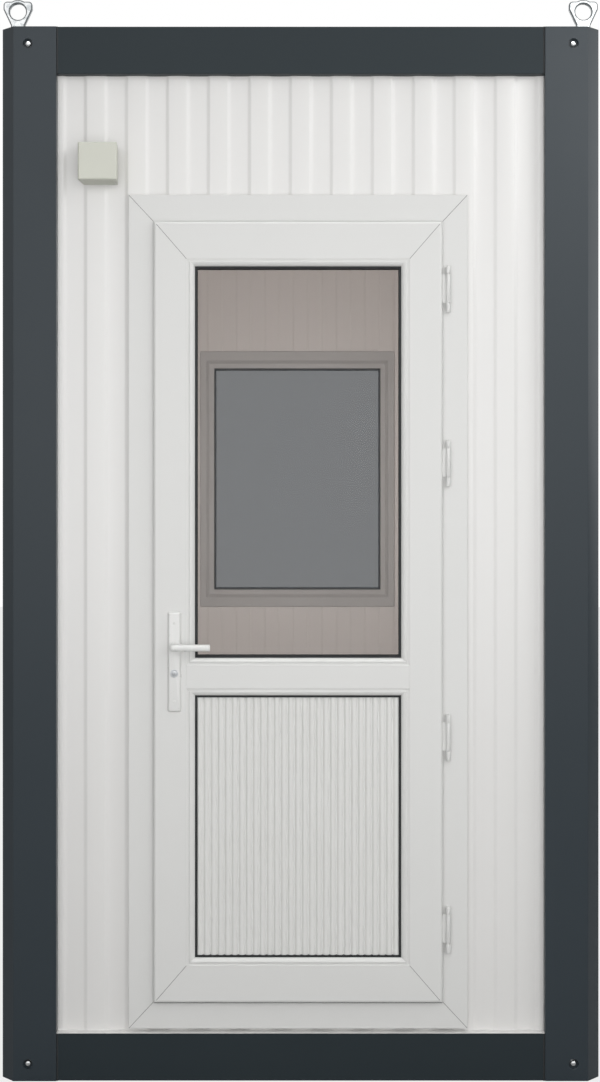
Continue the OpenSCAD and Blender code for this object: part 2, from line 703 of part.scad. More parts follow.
module door_frame_right() {
  color("#dfdfdd") intersection() {
    upright(flipped(frame_section(jamb_x)), frame_box[1], frame_box[2], frame_box[3]);
    prism(right_outline(frame_box, frame_corner), frame_y - eps, frame_end_y + eps);
  }
}

module door_frame_head() {
  color("#dfdfdd") intersection() {
    level(flipped(frame_section(jamb_z)), frame_box[3], frame_box[0], frame_box[1]);
    prism(top_outline(frame_box, frame_corner), frame_y - eps, frame_end_y + eps);
  }
}

module door_frame_sill() {
  color("#dfdfdd") intersection() {
    level(frame_section(jamb_z), frame_box[2], frame_box[0], frame_box[1]);
    prism(bottom_outline(frame_box, frame_corner), frame_y - eps, frame_end_y + eps);
  }
}

// Upper and lower knuckles with pin and foot on the frame
module frame_hinges() {
  color("#dfdfdd") for (z = hinge_z) translate([hinge_x, hinge_y, z]) {
    cylinder(r = hinge_pin_r, h = hinge_len);
    for (part = [[0, knuckle_low], [hinge_len - knuckle_top, knuckle_top]]) translate([0, 0, part[0]]) {
      cylinder(r = hinge_r, h = part[1]);
      translate([-hinge_foot / 2, 0, 0]) cube([hinge_foot, frame_y - hinge_y, part[1]]);
    }
  }
}

// Middle knuckles with their tab on the leaf
module door_hinges() {
  color("#dfdfdd") for (z = hinge_z) translate([hinge_x, hinge_y, z + knuckle_low + knuckle_gap])
    difference() {
      union() {
        cylinder(r = hinge_r, h = knuckle_mid);
        translate([-hinge_out, leaf_back_y - tab_back - hinge_tab - hinge_y, 0])
          cube([hinge_out, hinge_tab, knuckle_mid]);
      }
      translate([0, 0, -eps]) cylinder(r = hinge_pin_r + hinge_fit, h = knuckle_mid + 2 * eps);
    }
}

module door_stile_lock() {
  color("#dfdfdd") difference() {
    intersection() {
      upright(leaf_section(stile_face, lip_x), leaf_box[0], leaf_box[2], leaf_box[3]);
      prism(left_outline(leaf_box, leaf_corner), leaf_y - eps, leaf_end_y + eps);
    }
    prism(middle_outline, leaf_y - eps, leaf_end_y + eps);
    handle_bores(leaf_y - eps, leaf_end_y + eps);
  }
}

module door_stile_hinge() {
  color("#dfdfdd") difference() {
    intersection() {
      upright(flipped(leaf_section(stile_face, lip_x)), leaf_box[1], leaf_box[2], leaf_box[3]);
      prism(right_outline(leaf_box, leaf_corner), leaf_y - eps, leaf_end_y + eps);
    }
    prism(middle_outline, leaf_y - eps, leaf_end_y + eps);
  }
}

module door_rail_top() {
  color("#dfdfdd") intersection() {
    level(flipped(leaf_section(rail_face, lip_z)), leaf_box[3], leaf_box[0], leaf_box[1]);
    prism(top_outline(leaf_box, leaf_corner), leaf_y - eps, leaf_end_y + eps);
  }
}

module door_rail_middle() {
  upper = lip_section(middle_face / 2, lip_z);
  section = concat(reversed(flipped(upper)), upper, [[middle_half, leaf_end_y], [-middle_half, leaf_end_y]]);
  color("#dfdfdd") intersection() {
    level(section, middle_z, open_x0 - lip_x, open_x1 + lip_x);
    prism(middle_outline, leaf_y - eps, leaf_end_y + eps);
  }
}

module door_rail_bottom() {
  color("#dfdfdd") intersection() {
    level(leaf_section(rail_face, lip_z), leaf_box[2], leaf_box[0], leaf_box[1]);
    prism(bottom_outline(leaf_box, leaf_corner), leaf_y - eps, leaf_end_y + eps);
  }
}

module door_glass() color("#9fb0b8") prism(box_points(grown(glass_box, -gasket_w)), pane_y, pane_y + pane_t);

// Lower panel with upright grooves on its front
module door_panel() {
  box = grown(panel_box, -gasket_w);
  middle = (box[0] + box[1]) / 2;
  count = floor((box[1] - box[0]) / groove_pitch / 2 - 0.5);
  front = [for (i = [-count:count]) for (p = [[-groove_w / 2, 0], [0, groove_deep], [groove_w / 2, 0]])
           [middle + i * groove_pitch + p[0], pane_y + p[1]]];
  color("#dfdfdd") upright(concat([[box[0], pane_y]], front, [[box[1], pane_y], [box[1], pane_y + pane_t],
                                                            [box[0], pane_y + pane_t]]), 0, box[2], box[3]);
}

module door_gaskets() {
  color("#232323") for (box = [glass_box, panel_box])
    ring(box, grown(box, -gasket_w), gasket_y, gasket_y + gasket_t);
}

// The bores for spindle and lock cylinder between two depths
module handle_bores(y0, y1) {
  for (bore = [[lever_z, spindle_r + spindle_fit], [lever_z - lock_under, lock_r + lock_fit]])
    translate([lever_x, y0, bore[0]]) rotate([-90, 0, 0]) cylinder(r = bore[1], h = y1 - y0);
}

module handle_plates() {
  outline = plate_points(lever_x - plate_w / 2, lever_x + plate_w / 2, lever_z - plate_under,
                         lever_z + plate_over, plate_r);
  color("#ececea") for (y = [plate_y, leaf_end_y]) difference() {
    prism(outline, y, y + plate_t);
    handle_bores(y - eps, y + plate_t + eps);
  }
}

module lock_cylinder() {
  color("#c3c5c8") translate([lever_x, plate_y - lock_out, lever_z - lock_under]) rotate([-90, 0, 0])
    cylinder(r = lock_r, h = leaf_t + 2 * plate_t + 2 * lock_out);
}

// A round neck on the plane y = 0, standing out along -Y to its bar
module lever_neck(stand) {
  translate([0, -stand, 0]) rotate([-90, 0, 0]) cylinder(r = neck_r, h = stand);
  translate([0, -stand, 0]) sphere(r = neck_r);
}

// A round bar from its neck along +X, with a chamfered end
module lever_bar(stand, reach) {
  translate([0, -stand, 0]) rotate([0, 90, 0]) cylinder(r = bar_r, h = reach - bar_edge);
  translate([reach - bar_edge, -stand, 0]) rotate([0, 90, 0])
    cylinder(r1 = bar_r, r2 = bar_r - bar_edge, h = bar_edge);
}

// The outer lever carries the spindle through the leaf
module lever_outside() {
  stand = bar_off - plate_t - neck_gap;
  color("#ececea") translate([lever_x, plate_y - neck_gap, lever_z]) {
    lever_neck(stand);
    lever_bar(stand, bar_reach);
    rotate([-90, 0, 0]) cylinder(r = spindle_r, h = leaf_t + 2 * plate_t + 2 * neck_gap);
  }
}

// A short turn lever with two wings
module lever_inside() {
  stand = turn_off - plate_t - neck_gap;
  color("#ececea") translate([lever_x, plate_end_y + neck_gap, lever_z]) mirror([0, 1, 0]) {
    lever_neck(stand);
    for (side = [0, 1]) mirror([side, 0, 0]) lever_bar(stand, turn_reach);
  }
}

corner_post_front_left();
corner_post_front_right();
corner_post_back_left();
corner_post_back_right();
post_head_plates();
post_foot_plates();
lifting_eyes();
top_beam_front();
top_beam_back();
top_beam_left();
top_beam_right();
bottom_beam_front();
bottom_beam_back();
bottom_beam_left();
bottom_beam_right();
front_wall_left();
front_wall_right();
front_wall_head();
front_wall_sill();
back_wall_left();
back_wall_right();
back_wall_head();
back_wall_sill();
left_wall();
right_wall();
floor_board();
floor_joists();
underfloor_sheets();
ceiling_panel();
roof_sheet();
vent_hood();
window_frame();
window_sash();
window_gasket();
window_glass();
door_frame_left();
door_frame_right();
door_frame_head();
door_frame_sill();
frame_hinges();
door_stile_lock();
door_stile_hinge();
door_rail_top();
door_rail_middle();
door_rail_bottom();
door_glass();
door_panel();
door_gaskets();
door_hinges();
handle_plates();
lock_cylinder();
lever_outside();
lever_inside();
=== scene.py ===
"""Looks of the site cabin: finishes, profiled cladding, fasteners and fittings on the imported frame."""

import logging
import math
from dataclasses import dataclass, field
from enum import Enum
from typing import Any, Callable, ClassVar, Iterable, Optional, Sequence

import bmesh
import bpy
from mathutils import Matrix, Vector


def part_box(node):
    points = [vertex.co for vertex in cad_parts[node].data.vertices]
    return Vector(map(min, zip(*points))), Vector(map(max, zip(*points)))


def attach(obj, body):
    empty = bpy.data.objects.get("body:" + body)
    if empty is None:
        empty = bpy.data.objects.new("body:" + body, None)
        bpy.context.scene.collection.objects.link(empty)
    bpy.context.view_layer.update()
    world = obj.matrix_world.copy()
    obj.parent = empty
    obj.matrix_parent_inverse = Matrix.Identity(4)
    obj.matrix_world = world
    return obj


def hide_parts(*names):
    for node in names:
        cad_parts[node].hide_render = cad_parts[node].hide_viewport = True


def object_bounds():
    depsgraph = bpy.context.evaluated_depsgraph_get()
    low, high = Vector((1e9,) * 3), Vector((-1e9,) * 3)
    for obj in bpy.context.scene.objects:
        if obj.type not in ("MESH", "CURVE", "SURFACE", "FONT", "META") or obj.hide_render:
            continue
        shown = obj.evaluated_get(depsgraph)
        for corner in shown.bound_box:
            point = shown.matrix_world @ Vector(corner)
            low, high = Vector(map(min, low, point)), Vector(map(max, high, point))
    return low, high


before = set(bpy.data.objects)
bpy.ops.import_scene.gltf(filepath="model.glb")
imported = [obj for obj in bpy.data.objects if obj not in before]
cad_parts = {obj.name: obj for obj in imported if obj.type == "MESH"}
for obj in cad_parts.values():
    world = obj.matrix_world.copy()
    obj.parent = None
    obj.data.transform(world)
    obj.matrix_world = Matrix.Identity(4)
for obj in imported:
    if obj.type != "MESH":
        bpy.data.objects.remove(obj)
CAD_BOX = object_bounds()

LOG = logging.getLogger("site_cabin")
MM = 0.001

Point = tuple[float, float, float]
Pair = tuple[float, float]
Outline = tuple[Pair, ...]
Place = tuple[Point, Point]
Line = tuple[Vector, Vector, Vector]
Tree = bpy.types.NodeTree
Node = bpy.types.Node
Socket = bpy.types.NodeSocket
Piece = bpy.types.Object

# Points nearer than this join before edges are rounded, in millimetres.
WELD_GAP = 0.01
# Faces that meet at less than this count as one plane, in degrees.
FLAT_ANGLE = 1
# Edges sharper than this are rounded, in degrees.
EDGE_ANGLE = 28
# Edges of beads and turned shapes sharper than this stay sharp, in degrees.
ROUND_ANGLE = 40
# Steps of half a circle.
HALF_ROUND = tuple(math.radians(a) for a in range(0, 181, 30))
# Detail of the noises for patches, smears, grain and zinc.
PATCH_DETAIL, SMEAR_DETAIL, GRAIN_DETAIL, ZINC_DETAIL = 4.0, 5.0, 2.0, 3.0
# Smears of gloss across one patch of colour, and the noise values between which they vary.
SMEARS_PER_PATCH, SMEAR_SPAN = 3, (0.3, 0.7)
# Outward direction of each side along X and Y, and of the front as a vector.
OUTWARD = {"front": (0, -1), "back": (0, 1), "left": (-1, 0), "right": (1, 0)}
FRONT = Vector((0, -1, 0))


class Body(str, Enum):
    """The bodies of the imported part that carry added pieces."""

    CABIN = "cabin"
    DOOR = "door"


class Slot(str, Enum):
    """The record's material slots, named beside the added pieces."""

    WALL_SHEET = "wall_sheet"
    DOOR_PLASTIC = "door_plastic"
    HANDLE_COATING = "handle_coating"
    LOCK_NICKEL = "lock_nickel"
    GASKET_RUBBER = "gasket_rubber"
    STEEL = "galvanised_steel"


class LampUse(Enum):
    """What a lamp gives: light on the surfaces, or only its mirror image in their gloss."""

    LIGHT = "light"
    SHEEN = "sheen"


def linear(colour: str, alpha: float = 1.0) -> tuple[float, float, float, float]:
    """Turn an sRGB hex colour into linear values.

    Args:
        colour: Six hex digits with a leading hash sign.
        alpha: The fourth value of the result.

    Returns:
        Red, green, blue and alpha for a colour socket.
    """
    parts = [int(colour[i:i + 2], 16) / 255 for i in (1, 3, 5)]
    r, g, b = (p / 12.92 if p <= 0.04045 else ((p + 0.055) / 1.055) ** 2.4 for p in parts)
    return r, g, b, alpha


def add(tree: Tree, kind: str, inputs: Optional[dict[Any, Any]] = None,
        **settings: Any) -> Node:
    """Add a node with its settings, values and links.

    Args:
        tree: The node tree that takes the node.
        kind: The node's type name.
        inputs: Values or output sockets by input name or number.
        **settings: Attributes of the node.

    Returns:
        The new node.
    """
    node = tree.nodes.new(kind)
    for key, value in settings.items():
        setattr(node, key, value)
    for key, value in (inputs or {}).items():
        if isinstance(value, Socket):
            tree.links.new(value, node.inputs[key])
        else:
            node.inputs[key].default_value = value
    return node


def per_mm(size: float) -> float:
    """Return a noise scale whose features are about size millimetres wide, on Object coordinates."""
    return 1 / (size * MM)


def calc(tree: Tree, operation: str, *values: Any) -> Socket:
    """Add a math node on values or sockets and return its result."""
    return add(tree, "ShaderNodeMath", dict(enumerate(values)), operation=operation).outputs[0]


def blend(tree: Tree, share: Socket, first: Any, second: Any) -> Socket:
    """Add a mix of two colours and return its result."""
    return add(tree, "ShaderNodeMix", {0: share, 6: first, 7: second}, data_type="RGBA").outputs[2]


def noise(tree: Tree, where: Socket, size: float, detail: float) -> Socket:
    """Add a noise with features about size millimetres wide and return its value."""
    values = {"Vector": where, "Scale": per_mm(size), "Detail": detail}
    return add(tree, "ShaderNodeTexNoise", values).outputs["Fac"]


def cells(tree: Tree, where: Socket, size: float) -> Any:
    """Add cells about size millimetres wide and return the parts of their random colours."""
    made = add(tree, "ShaderNodeTexVoronoi", {"Vector": where, "Scale": per_mm(size)})
    return add(tree, "ShaderNodeSeparateColor", {"Color": made.outputs["Color"]}).outputs


def emptied(owner: Any) -> Tree:
    """Give a material or world a node tree of its own.

    Args:
        owner: The material or world.

    Returns:
        Its node tree without nodes.
    """
    owner.use_nodes = True
    owner.node_tree.nodes.clear()
    return owner.node_tree


@dataclass(frozen=True)
class Finish:
    """A surface of one real material, with mottled colour, uneven gloss and a fine relief.

    Attributes:
        name: The material's name.
        colour: Main colour in sRGB hex.
        shade: Colour of the darker patches in sRGB hex.
        roughness: Lowest and highest roughness.
        patch: Width of a colour patch in millimetres.
        grain: Width of a relief feature in millimetres.
        relief: Height of the relief in millimetres.
        metallic: Metallic value of the shader.
        specular: Specular level of the shader, 0.5 for a common plastic or paint.
        stretch: Scale of the patterns along X, Y and Z.
    """

    name: str
    colour: str
    shade: str
    roughness: Pair = (0.4, 0.5)
    patch: float = 200.0
    grain: float = 3.0
    relief: float = 0.02
    metallic: float = 0.0
    specular: float = 0.5
    stretch: Point = (1.0, 1.0, 1.0)

    def material(self) -> bpy.types.Material:
        """Build the material once and return it on later calls."""
        known = bpy.data.materials.get(self.name)
        if known:
            return known
        material = bpy.data.materials.new(self.name)
        tree = emptied(material)
        shader = add(tree, "ShaderNodeBsdfPrincipled", {
            "Metallic": self.metallic, "Specular IOR Level": self.specular})
        place = add(tree, "ShaderNodeTexCoord").outputs["Object"]
        where = add(tree, "ShaderNodeMapping", {"Vector": place, "Scale": self.stretch}).outputs["Vector"]
        self.dress(tree, shader, where)
        add(tree, "ShaderNodeOutputMaterial", {"Surface": shader.outputs["BSDF"]})
        return material

    def dress(self, tree: Tree, shader: Node, where: Socket) -> None:
        """Link colour, roughness and relief to the shader.

        Args:
            tree: The material's node tree.
            shader: The Principled node.
            where: Stretched Object coordinates.
        """
        patches = noise(tree, where, self.patch, PATCH_DETAIL)
        smears = noise(tree, where, self.patch / SMEARS_PER_PATCH, SMEAR_DETAIL)
        grain = noise(tree, where, self.grain, GRAIN_DETAIL)
        self.link(tree, shader, patches, smears, SMEAR_SPAN, grain)

    def link(self, tree: Tree, shader: Node, tone: Socket, wear: Socket, span: Pair, grain: Socket) -> None:
        """Link two tones of colour, a span of roughness and a relief to the shader.

        Args:
            tree: The material's node tree.
            shader: The Principled node.
            tone: Share of the second colour.
            wear: Value that sets the roughness.
            span: Values of wear at the lowest and highest roughness.
            grain: Height of the relief.
        """
        gloss = add(tree, "ShaderNodeMapRange", {
            "Value": wear, "From Min": span[0], "From Max": span[1],
            "To Min": self.roughness[0], "To Max": self.roughness[1]})
        bump = add(tree, "ShaderNodeBump", {"Height": grain, "Strength": 1.0, "Distance": self.relief * MM})
        colour = blend(tree, tone, linear(self.colour), linear(self.shade))
        tree.links.new(colour, shader.inputs["Base Color"])
        tree.links.new(gloss.outputs["Result"], shader.inputs["Roughness"])
        tree.links.new(bump.outputs["Normal"], shader.inputs["Normal"])


@dataclass(frozen=True)
class SpangledZinc(Finish):
    """Hot-dip galvanised steel, whose zinc crystals show as patches of different grey.

    Attributes:
        crystal: Width of a zinc crystal in millimetres.
    """

    crystal: float = 14.0

    def dress(self, tree: Tree, shader: Node, where: Socket) -> None:
        """Link crystal colours, crystal gloss and a faint relief to the shader."""
        tones = cells(tree, where, self.crystal)
        grain = noise(tree, where, self.grain, ZINC_DETAIL)
        self.link(tree, shader, tones["Red"], tones["Green"], (0.0, 1.0), grain)


@dataclass(frozen=True)
class FlakedFloor(Finish):
    """Vinyl floor covering with pressed-in flakes of lighter and darker grey.

    Attributes:
        flake: Width of a flake in millimetres.
        light: Colour of the lightest flakes in sRGB hex.
        plain: Share of the flakes in the covering's own colour.
    """

    flake: float = 5.0
    light: str = "#b9bbbb"
    plain: float = 0.75

    def dress(self, tree: Tree, shader: Node, where: Socket) -> None:
        """Link flake colours and the even wear of the covering to the shader."""
        Finish.dress(self, tree, shader, where)
        tone = cells(tree, where, self.flake)["Red"]
        ramp = add(tree, "ShaderNodeMapRange", {"Value": tone, "From Min": self.plain})
        base = shader.inputs["Base Color"].links[0].from_socket
        flakes = blend(tree, ramp.outputs["Result"], base, linear(self.light))
        tree.links.new(flakes, shader.inputs["Base Color"])


@dataclass(frozen=True)
class TintedGlass(Finish):
    """Float glass that lets part of the light through each of its faces.

    Attributes:
        cover: Share of the light that one face holds back.
        gloss_ior: Index that keeps the mirror gloss, which the cover share weakens.
    """

    cover: float = 0.2
    gloss_ior: float = 2.4

    def dress(self, tree: Tree, shader: Node, where: Socket) -> None:
        """Link tint and gloss to the shader, with the plane faces of float glass."""
        Finish.dress(self, tree, shader, where)
        tree.links.remove(shader.inputs["Normal"].links[0])
        shader.inputs["Alpha"].default_value = self.cover
        shader.inputs["IOR"].default_value = self.gloss_ior


class Finishes:
    """The finishes of the cabin, each named for its material and how it was made."""

    # Powder-coated steel: satin anthracite with a slight orange peel, drawn coarser than real to show.
    POST = Finish("powder_coated_steel_anthracite", "#283137", "#262f35", (0.33, 0.37), 260, 4, 0.03,
                  specular=0.38)
    # The folded beams take the same coating, duller and a touch darker than the posts: painted shade for
    # their set-back faces.
    BEAM = Finish("powder_coated_steel_beam", "#283034", "#262e32", (0.41, 0.45), 260, 4, 0.03,
                  specular=0.16)
    # Coil-coated steel sheet: smooth off-white with soft gloss and a slow waviness of the thin sheet.
    SHEET = Finish("coil_coated_steel_sheet_white", "#dcdbd9", "#dad9d7", (0.279, 0.281), 420, 160, 0.02,
                   specular=1.0)
    # The lining is the same sheet in a warmer white.
    LINING = Finish("coil_coated_steel_lining_cream", "#e6e2e0", "#e4e0dd", (0.38, 0.42), 420, 160, 0.03)
    # Extruded PVC: smooth white with fine draw lines along the profiles and a soft gloss.
    PROFILE = Finish("extruded_pvc_white", "#d6d6d4", "#d4d4d2", (0.3, 0.34), 180, 6, 0.015,
                     specular=0.45)
    # PVC panel board with rolled ribs: slightly duller than the profiles.
    PANEL = Finish("ribbed_pvc_panel_white", "#d8d8d6", "#d6d6d3", (0.34, 0.42), 150, 6, 0.02,
                   specular=0.25)
    # Extruded PVC of the back window: a light grey without gloss.
    WINDOW_PROFILE = Finish("extruded_pvc_light_grey", "#c5c5c4", "#c3c2c1", (0.38, 0.46), 180, 6, 0.015)
    # Welded corner of PVC profiles: the seam's darker grey is painted shade for its machined groove.
    SEAM_SHADE = Finish("welded_pvc_seam_shade_grey", "#8d8d8b", "#7f7f7d", (0.5, 0.6), 20, 2, 0.02)
    # Grey bead in the groove beside a glazing bead: painted shade that darkens the groove.
    GROOVE_SHADE = Finish("painted_groove_shade_grey", "#b4b4b2", "#b0b0ae", (0.5, 0.6), 60, 2, 0.02, specular=0.2)
    # EPDM glazing gasket: matt black rubber with a faint bloom.
    RUBBER = Finish("extruded_epdm_rubber_black", "#2b2d2e", "#323435", (0.6, 0.75), 40, 2, 0.05,
                    specular=0.2)
    # Gasket of the back window: the same rubber, bleached grey by the sun.
    GREY_RUBBER = Finish("bleached_epdm_rubber_grey", "#666a6d", "#5e6265", (0.6, 0.75), 40, 2, 0.05,
                         specular=0.2)
    # Enamelled aluminium handle: white, glossy, with faint handling marks.
    ENAMEL = Finish("enamelled_aluminium_white", "#dededc", "#dadad8", (0.26, 0.34), 60, 3, 0.01)
    # Pressed aluminium plates with the same coat, painted a touch greyer than the lever as painted shade,
    # since the round lever catches more light.
    PLATE = Finish("pressed_aluminium_white", "#dadad8", "#d7d7d5", (0.26, 0.36), 60, 3, 0.01)
    # Nickel-plated brass lock: bright metal with hairline polishing marks.
    NICKEL = Finish("nickel_plated_brass", "#d5d7d9", "#c9cccf", (0.42, 0.54), 12, 0.6, 0.01, 1.0,
                    stretch=(1.0, 1.0, 3.0))
    # Bright zinc-plated bolt: cool silver with a slight haze.
    BOLT = Finish("zinc_plated_steel_bolt", "#dcdddd", "#c2c5c7", (0.12, 0.24), 10, 1.5, 0.01, 1.0)
    # Key slot: dull metal painted darker than the plug round it, as painted shade in the slot.
    KEY_SLOT_SHADE = Finish("painted_key_slot_shade", "#b2b4b6", "#a6a8aa", (0.45, 0.6), 8, 1, 0.02, 0.6)
    # Forged and galvanised lifting eye: bright zinc, uneven gloss.
    EYE = SpangledZinc("forged_galvanised_steel", "#dadcdd", "#b4b8ba", (0.24, 0.38), 30, 5, 0.05, 1.0,
                       crystal=9)
    # Dull grey on the rounded edges of the eyes: painted shade that outlines them.
    EYE_EDGE_SHADE = SpangledZinc("painted_edge_shade_zinc", "#7c8082", "#6c7072", (0.6, 0.7), 30, 5, 0.05, 0.0, 0.2,
                            crystal=5)
    # Galvanised sheet: zinc crystals a finger wide.
    ZINC = SpangledZinc("galvanised_steel_sheet", "#b6b9ba", "#9a9ea0", (0.3, 0.5), 60, 4, 0.02, 1.0,
                        crystal=16)
    # Moulded ABS: matt pale green-grey with fine spark-eroded grain.
    HOOD = Finish("moulded_abs_pale_grey", "#cccdc2", "#c7c8bd", (0.45, 0.55), 60, 1.6, 0.03)
    # Vinyl sheet with pressed-in flakes.
    FLOOR = FlakedFloor("flaked_vinyl_floor_grey", "#8f9192", "#868889", (0.4, 0.55), 300, 3, 0.05)
    # Clear insulating glass of the door, slightly grey.
    DOOR_GLASS = TintedGlass("float_glass_clear_grey", "#101314", "#0e1011", (0.02, 0.04), 600, cover=0.18,
                             gloss_ior=1.25)
    # Sun-protection glass of the back window, blue-grey.
    WINDOW_GLASS = TintedGlass("float_glass_blue_grey", "#34424f", "#313f4b", (0.02, 0.05), 600, cover=0.49,
                               gloss_ior=1.05)


def new_object(name: str, mesh: bpy.types.Mesh) -> Piece:
    """Put a mesh into the scene as an object at the origin."""
    piece = bpy.data.objects.new(name, mesh)
    bpy.context.scene.collection.objects.link(piece)
    return piece


def paint(piece: Piece, finish: Finish) -> None:
    """Give a piece one finish in all its slots."""
    material = finish.material()
    if not piece.data.materials:
        piece.data.materials.append(material)
    for held in piece.material_slots:
        held.material = material


def dress_nodes(finish: Finish, *names: str) -> None:
    """Give CAD nodes a finish."""
    for name in names:
        paint(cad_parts[name], finish)


def soften(width: float, *names: str, segments: int = 2, edge_finish: Optional[Finish] = None,
           clamp: bool = True) -> None:
    """Round the edges of CAD nodes with modifiers, their own meshes unchanged.

    Args:
        width: Width of the rounding in millimetres.
        *names: The CAD nodes.
        segments: Facets across the rounding.
        edge_finish: Finish of the rounding, where it differs from the faces.
        clamp: Whether short edges narrow the rounding.
    """
    for name in names:
        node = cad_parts[name]
        node.modifiers.new("joined", "WELD").merge_threshold = WELD_GAP * MM
        flat = node.modifiers.new("flat_faces", "DECIMATE")
        flat.decimate_type = "DISSOLVE"
        flat.angle_limit = math.radians(FLAT_ANGLE)
        edge = node.modifiers.new("soft_edges", "BEVEL")
        edge.width = width * MM
        edge.segments = segments
        edge.limit_method = "ANGLE"
        edge.angle_limit = math.radians(EDGE_ANGLE)
        edge.use_clamp_overlap = clamp
        edge.harden_normals = True
        if edge_finish:
            node.data.materials.append(edge_finish.material())
            edge.material = len(node.data.materials) - 1


def finish_piece(piece: Piece, body: Body, slot: Slot, *stands_for: str) -> None:
    """Ride a piece on its body and report it.

    Args:
        piece: The finished piece.
        body: The CAD body that carries it.
        slot: The record's material slot; not used.
        *stands_for: CAD nodes that it replaces.
    """
    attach(piece, body.value)
    if stands_for:
        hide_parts(*stands_for)
    LOG.info("%s rides on %s, %d faces", piece.name, body.value, len(piece.data.polygons))


def smooth_by_angle(mesh: bpy.types.Mesh, degrees: float) -> None:
    """Shade a mesh smooth, with edges sharper than an angle kept sharp."""
    mesh.shade_smooth()
    mesh.set_sharp_from_angle(angle=math.radians(degrees))


def bake_modifier(piece: Piece) -> None:
    """Turn the evaluated result of a piece's modifiers into its own plain mesh."""
    graph = bpy.context.evaluated_depsgraph_get()
    made = bpy.data.meshes.new_from_object(piece.evaluated_get(graph))
    old = piece.data
    piece.modifiers.clear()
    piece.data = made
    bpy.data.meshes.remove(old)


def add_tree(name: str, sockets: Sequence[tuple[str, str]]) -> Tree:
    """Make a geometry node tree with a geometry output.

    Args:
        name: The tree's name.
        sockets: Name and socket type of each input, the geometry first.

    Returns:
        The tree without nodes.
    """
    tree = bpy.data.node_groups.new(name, "GeometryNodeTree")
    for label, kind in sockets:
        tree.interface.new_socket(label, in_out="INPUT", socket_type=kind)
    tree.interface.new_socket("Geometry", in_out="OUTPUT", socket_type="NodeSocketGeometry")
    return tree


def run_tree(piece: Piece, tree: Tree, values: dict[str, Any]) -> None:
    """Run a geometry node tree on a piece and keep the result as a plain mesh.

    Args:
        piece: The piece whose mesh goes into the tree.
        tree: The geometry node tree.
        values: Values of the tree's inputs by name.
    """
    modifier = piece.modifiers.new(tree.name, "NODES")
    modifier.node_group = tree
    for item in tree.interface.items_tree:
        if item.in_out == "INPUT" and item.name in values:
            modifier[item.identifier] = values[item.name]
    bake_modifier(piece)


def instancer() -> Tree:
    """Build the tree that sets a fastener on every point, along the point's axis.

    Returns:
        The tree with inputs for shape, scale, turn, seed and material.
    """
    tree = add_tree("fasteners_on_points", [
        ("Points", "NodeSocketGeometry"), ("Shape", "NodeSocketObject"), ("Scale", "NodeSocketFloat"),
        ("Turn", "NodeSocketFloat"), ("Seed", "NodeSocketInt"), ("Material", "NodeSocketMaterial")])
    ports = add(tree, "NodeGroupInput").outputs
    shape = add(tree, "GeometryNodeObjectInfo", {"Object": ports["Shape"]})
    axis = add(tree, "GeometryNodeInputNamedAttribute", {"Name": "axis"}, data_type="FLOAT_VECTOR")
    aim = add(tree, "FunctionNodeAlignRotationToVector", {"Vector": axis.outputs["Attribute"]}, axis="Z")
    turn = add(tree, "FunctionNodeRandomValue", {"Max": ports["Turn"], "Seed": ports["Seed"]},
               data_type="FLOAT")
    spin = add(tree, "ShaderNodeCombineXYZ", {"Z": turn.outputs[1]})
    local = add(tree, "FunctionNodeEulerToRotation", {"Euler": spin.outputs["Vector"]})
    pose = add(tree, "FunctionNodeRotateRotation", {
        "Rotation": aim.outputs["Rotation"], "Rotate By": local.outputs["Rotation"]}, rotation_space="LOCAL")
    placed = add(tree, "GeometryNodeInstanceOnPoints", {
        "Points": ports["Points"], "Instance": shape.outputs["Geometry"],
        "Rotation": pose.outputs["Rotation"], "Scale": ports["Scale"]})
    real = add(tree, "GeometryNodeRealizeInstances", {"Geometry": placed.outputs["Instances"]})
    coloured = add(tree, "GeometryNodeSetMaterial", {
        "Geometry": real.outputs["Geometry"], "Material": ports["Material"]})
    add(tree, "NodeGroupOutput", {"Geometry": coloured.outputs["Geometry"]})
    return tree


@dataclass(frozen=True)
class Wave:
    """A rolled profile, all sizes in millimetres.

    Attributes:
        pitch: Distance between two crests.
        crest: Flat width of a crest.
        slope: Width of a rounded slope.
        depth: Depth of the profile.
        sway: Share of the depth that a slow wave takes.
    """

    pitch: float
    crest: float
    slope: float
    depth: float
    sway: float = 0.0

    SIZES: ClassVar[tuple[str, ...]] = ("Pitch", "Crest", "Slope", "Depth", "Sway")

    def inputs(self, skin: str) -> dict[str, float]:
        """Return the values of one skin's inputs in metres."""
        return {f"{skin} {size}": getattr(self, size.lower()) * (1.0 if size == "Sway" else MM)
                for size in self.SIZES}


